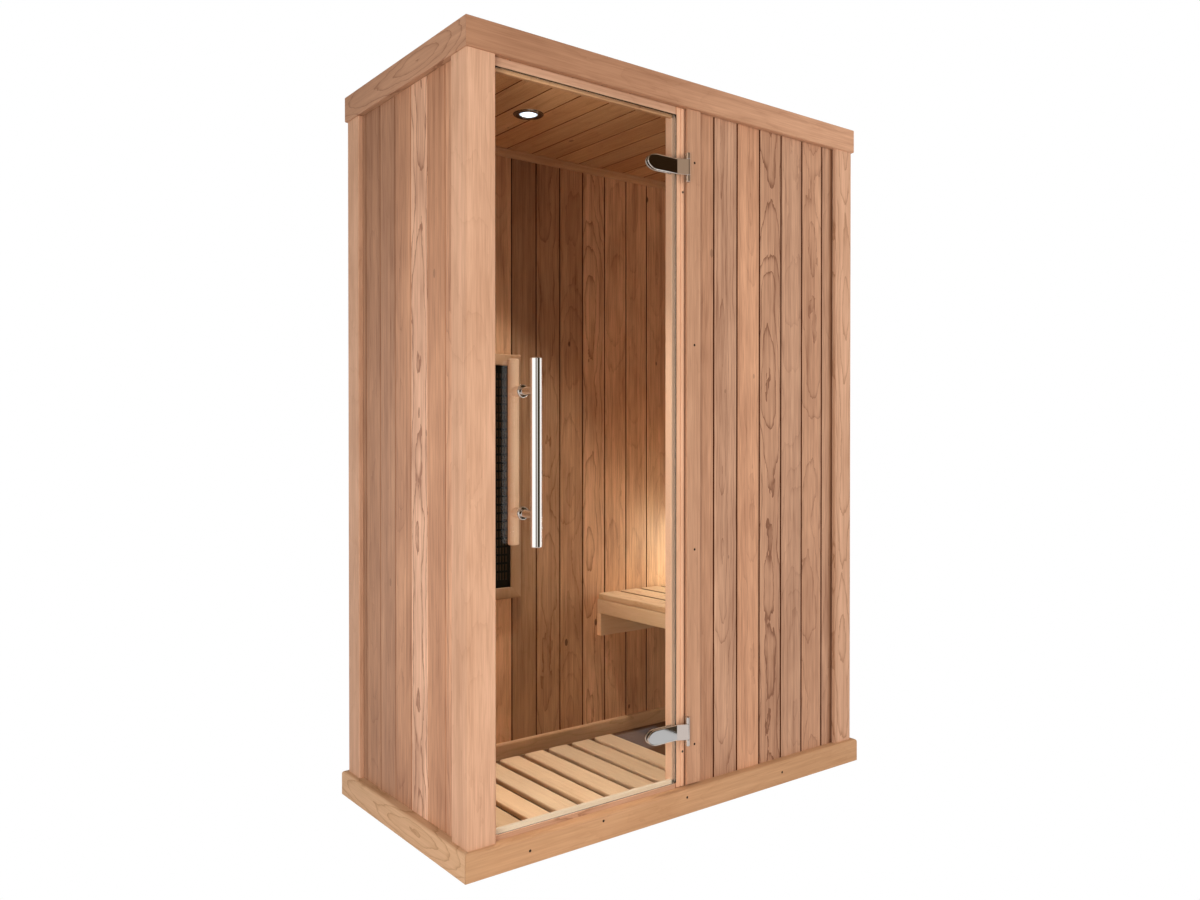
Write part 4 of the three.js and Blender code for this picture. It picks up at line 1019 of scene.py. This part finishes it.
# A plate behind the barrels, and above and below the leaf a barrel with a lug to the plate
def hingeBracket(place):
    low, high = cadBox("hinge_bracket_" + place)
    leafLow, leafHigh = cadBox("hinge_leaf_" + place)
    axisX, axisY, radius = barrelOf(place)
    plateLeft, plateFront = high[0] - hingeLook["plate"], axisY + radius + hingeLook["plateClear"]
    solids = [easedBlock((plateLeft, plateFront, low[2]), high, hingeLook["plateEase"])]
    clear = hingeLook["clear"]
    for bottom, top in ((low[2], leafLow[2] - clear), (leafHigh[2] + clear, high[2])):
        lugBack = plateFront + hingeLook["lugLap"]
        solids.append(barrel(place, bottom, top))
        solids.append(easedBlock((plateLeft, axisY, bottom), (high[0], lugBack, top), hingeLook["lugEase"]))
    return gather(*solids)


def hingeClamp(place):
    low, high = cadBox("hinge_clamp_" + place)
    return leafPlate(low[0], high[0], low[2], high[2], high[1])


hingePieces = [("Leaf", hingeLeaf, "door"), ("Clamp", hingeClamp, "door"), ("Bracket", hingeBracket, "cabin")]
for place in ("upper", "lower"):
    for kind, shape, body in hingePieces:
        node = f"hinge_{kind.lower()}_{place}"
        makePiece(f"hinge{kind}Look{place.title()}", shape(place), body, "chrome", chrome, node)
    dress("hinge_pin_" + place, steel)

# Handle and grip

handleLook = {"barDiameter": 0.028, "barEase": 0.002, "postDiameter": 0.020, "postPitch": 0.287,
              "postEase": 0.0003, "rosette": 0.032, "rosetteThickness": 0.007, "rosetteRound": 0.47,
              "clear": 0.0004}
gripLook = {"diameter": 0.027, "ease": 0.004, "spacerDiameter": 0.024, "spacerLength": 0.030,
            "spacerEase": 0.0008}
handleLow, handleHigh = cadBox("door_handle")
handleX, handleZ = (handleLow[0] + handleHigh[0]) / 2, (handleLow[2] + handleHigh[2]) / 2
barRadius, clear = handleLook["barDiameter"] / 2, handleLook["clear"]
barY = handleLow[1] + barRadius
glassFront, glassBack = glassLow[1], glassHigh[1]
bar = barProfile(barRadius, handleLow[2], handleHigh[2], handleLook["barEase"])
fittings, spacers = [spin(bar, (handleX, barY, 0), steps=64)], []
thick = handleLook["rosetteThickness"]
post = barProfile(handleLook["postDiameter"] / 2, 0, glassFront - barY, handleLook["postEase"])
rosette = barProfile(handleLook["rosette"] / 2, clear, thick, thick * handleLook["rosetteRound"], 9)
spacerRadius = gripLook["spacerDiameter"] / 2
spacer = barProfile(spacerRadius, -gripLook["spacerLength"], -clear, gripLook["spacerEase"])
for side in (-0.5, 0.5):
    z = handleZ + side * handleLook["postPitch"]
    fittings += [spin(profile, (handleX, glassFront, z), towardsFront) for profile in (post, rosette)]
    spacers.append(spin(spacer, (handleX, glassBack, z), towardsFront))
makePiece("doorHandleLook", gather(*fittings), "door", "chrome", chrome, "door_handle")
gripLow, gripHigh = cadBox("inner_grip")
gripRadius = gripLook["diameter"] / 2
gripProfile = barProfile(gripRadius, gripLow[2], gripHigh[2], gripLook["ease"])
grip = gather(spin(gripProfile, (handleX, gripHigh[1] - gripRadius, 0)), *spacers)
gripWood = woodMaterial("gripWood", "grip", "Z", "X", handleX, 301)
makePiece("innerGripLook", grip, "door", "cedar_frame", gripWood, "inner_grip")
print("stage: door")

# Hidden and plain nodes keep their CAD shape

dress("floor_panel", woodMaterial("floorWood", "floor", "X", "Y", 0.0, 310))
dress("roof_panel", woodMaterial("sheetWood", "pale", "X", "Y", 0.0, 311))
coreWood = woodMaterial("coreWood", "pale", "Z", "X", 0.0, 312)
for side in ("left", "right", "rear"):
    dress("wall_core_" + side, coreWood)
dress("heater_emitter", paintMaterial("heatingFilm", (0.08, 0.04, 0.018), 0.6, specular=0.2))
dress("power_unit", paintMaterial("greyPaint", (0.32, 0.33, 0.34), 0.45, 0.4))
dress("control_panel", paintMaterial("blackPanel", (0.015, 0.015, 0.017), 0.2))

# Studio: camera, lights, floor and background

camera = {"place": (-1.7592, -2.2567, 1.0025), "yaw": 37.574, "pitch": -0.447, "focalPixels": 970.37,
          "imageWidth": 1200, "imageHeight": 900, "principal": (606.1, 444.7), "sensor": 36}
cameraData = bpy.data.cameras.new("camera")
cameraObject = bpy.data.objects.new("camera", cameraData)
bpy.context.scene.collection.objects.link(cameraObject)
cameraData.sensor_fit = "HORIZONTAL"
cameraData.sensor_width = camera["sensor"]
cameraData.lens = camera["focalPixels"] / camera["imageWidth"] * camera["sensor"]
cameraData.shift_x = (camera["imageWidth"] / 2 - camera["principal"][0]) / camera["imageWidth"]
cameraData.shift_y = (camera["principal"][1] - camera["imageHeight"] / 2) / camera["imageWidth"]
cameraData.dof.use_dof = False
cameraObject.location = camera["place"]
cameraObject.rotation_euler = (math.radians(90 + camera["pitch"]), 0, math.radians(-camera["yaw"]))
bpy.context.scene.camera = cameraObject

studio = {"world": 0.42, "floor": (0.8, 0.8, 0.8), "floorReach": 30, "floorHeight": -0.001, "card": 0.58,
          "cardLow": (0.235, -0.945), "cardHigh": (0.42, -0.775), "cardHeight": 0.002}
softWhite = (1.0, 0.98, 0.95)
# place, target, width and height, watts, colour, spread in degrees, and whether metal and glass show it
lights = {
    "rightLight": ((4.0, -4.6, 2.6), (0.2, 0, 1.1), (1.6, 1.6), 165.0, softWhite, 180, False),
    "leftLight": ((-3.0, -2.0, 0.8), (-0.6, -0.1, 0.9), (1.2, 1.4), 58.0, softWhite, 180, False),
    "downlightGlow": ((lampX, lampY, ceiling - 0.008), (lampX + 0.1, lampY - 0.02, 0), (0.045, 0.045), 2.8,
                      (1.0, 0.95, 0.88), 68, True),
    "cornerWash": ((cornerLow[0] - 0.01, cornerLow[1] - 0.1, cornerMiddle[2]),
                   (cornerLow[0] - 0.3, cornerHigh[1] + 0.05, 0.48), (0.03, 0.25), 1.0,
                   (0.88, 1.0, 0.9), 180, True),
}
for name, (place, target, size, power, colour, spread, mirrored) in lights.items():
    data = bpy.data.lights.new(name, "AREA")
    data.shape = "RECTANGLE"
    data.size, data.size_y = size
    data.energy = power
    data.color = colour
    data.spread = math.radians(spread)
    light = bpy.data.objects.new(name, data)
    light.location = place
    aim = np.array(target, float) - np.array(place, float)
    tilt = math.atan2(math.hypot(aim[0], aim[1]), -aim[2])
    light.rotation_euler = (tilt, 0, math.atan2(aim[1], aim[0]) - quarter)
    light.visible_glossy = light.visible_transmission = mirrored
    bpy.context.scene.collection.objects.link(light)

# What polished metal and glass reflect: bands by the angle round from the front, in degrees towards
# +X, dimmer and browner above, with a pale part below
mirrorWhite, mirrorGrey, mirrorPale = (1.3, 1.27, 1.24), (0.80, 0.75, 0.70), (1.2, 1.15, 1.1)
mirrorBrown, mirrorDark = (0.05, 0.033, 0.018), (0.045, 0.028, 0.013)
mirrorBands = [(-180, -44, mirrorWhite), (-39, -25, mirrorBrown), (-21, -3, mirrorGrey), (1, 43, mirrorDark),
               (46, 92, mirrorPale), (98, 180, mirrorDark)]
# limits are heights of a ray's direction, or how far it points to +X
mirrorLook = {"above": (0.5, 0.36, 0.26, 1), "aboveLimits": (0.1, 0.2), "below": (0.70, 0.61, 0.56, 1),
              "belowLimits": (-0.24, -0.27), "paneFrom": (0.3, 0.32), "paneTo": (0.69, 0.67)}


# 1 for what the camera sees straight on or through the glass, without a mirror bounce between
def seenDirectly(tree, path):
    straight = maths(tree, "MAXIMUM", path.outputs["Is Camera Ray"], path.outputs["Is Transmission Ray"])
    return maths(tree, "MULTIPLY", straight, maths(tree, "LESS_THAN", path.outputs["Glossy Depth"], 0.5))


# 1 for what is seen in polished metal or in the glass, by its front or its back face
def seenMirrored(tree, path):
    bounced = maths(tree, "GREATER_THAN", path.outputs["Glossy Depth"], 0.5)
    return maths(tree, "MULTIPLY", bounced, maths(tree, "LESS_THAN", path.outputs["Diffuse Depth"], 0.5))


def makeWorld():
    world = bpy.data.worlds.new("studioWorld")
    bpy.context.scene.world = world
    world.use_nodes = True
    tree = world.node_tree
    axis = splitAxes(tree, addNode(tree, "TexCoord").outputs["Generated"])
    ramp = addNode(tree, "ValToRGB")
    stops = ramp.color_ramp.elements
    while len(stops) < 2 * len(mirrorBands):
        stops.new(1.0)
    for i, (start, end, colour) in enumerate(mirrorBands):
        for stop, angle in ((stops[2 * i], start), (stops[2 * i + 1], end)):
            stop.position, stop.color = angle / 360 + 0.5, (*colour, 1)
    turn = maths(tree, "ARCTAN2", axis["X"], maths(tree, "MULTIPLY", axis["Y"], -1.0))
    feed(tree, ramp.inputs[0], maths(tree, "MULTIPLY_ADD", turn, 0.5 / math.pi, 0.5))
    bands = ramp.outputs["Color"]
    dimmed = mixColours(tree, 1.0, bands, mirrorLook["above"], "MULTIPLY")
    mirrored = mixColours(tree, mapRange(tree, axis["Z"], mirrorLook["aboveLimits"]), bands, dimmed)
    # the pale part below leaves out what the pane mirrors left of the hinge
    pane = maths(tree, "MULTIPLY", mapRange(tree, axis["X"], mirrorLook["paneFrom"]),
                 mapRange(tree, axis["X"], mirrorLook["paneTo"]))
    pale = maths(tree, "MULTIPLY", mapRange(tree, axis["Z"], mirrorLook["belowLimits"]),
                 maths(tree, "SUBTRACT", 1.0, pane))
    mirrored = mixColours(tree, pale, mirrored, mirrorLook["below"])
    path = addNode(tree, "LightPath")
    lit = mixColours(tree, seenMirrored(tree, path), (studio["world"],) * 3 + (1,), mirrored)
    sky = mixColours(tree, seenDirectly(tree, path), lit, (1, 1, 1, 1))
    fill(tree, tree.nodes["Background"], {"Color": sky, "Strength": 1.0})


makeWorld()


# A stage surface: paint that glows for the camera and leaves mirrored rays alone, or with no paint
# a glow for mirrored rays alone
def stagePlane(name, low, high, height, glow, paint=None):
    tree, surface, material = openMaterial(name, {"Base Color": (*(paint or (1, 1, 1)), 1), "Roughness": 0.8})
    path = addNode(tree, "LightPath")
    clear = addNode(tree, "BsdfTransparent")
    light = addNode(tree, "Emission")
    fill(tree, light, {"Strength": glow})
    if paint:
        other = mixShaders(tree, seenMirrored(tree, path), surface, clear)
        whole = mixShaders(tree, seenDirectly(tree, path), other, light)
    else:
        whole = mixShaders(tree, path.outputs["Is Glossy Ray"], clear, light)
    fill(tree, tree.nodes["Material Output"], {"Surface": whole.outputs[0]})
    mesh = bpy.data.meshes.new(name)
    corners = [(low[0], low[1]), (high[0], low[1]), (high[0], high[1]), (low[0], high[1])]
    mesh.from_pydata([(x, y, height) for x, y in corners], [], [(0, 1, 2, 3)])
    mesh.materials.append(material)
    plane = bpy.data.objects.new(name, mesh)
    bpy.context.scene.collection.objects.link(plane)


# The floor looks white to the camera and is not reflected; the card shows in reflections alone
reach = studio["floorReach"]
stagePlane("studioFloor", (-reach, -reach), (reach, reach), studio["floorHeight"], 1.0, studio["floor"])
stagePlane("reflectedCard", studio["cardLow"], studio["cardHigh"], studio["cardHeight"], studio["card"])
bpy.context.scene.view_settings.view_transform = "Standard"
print("stage: studio")
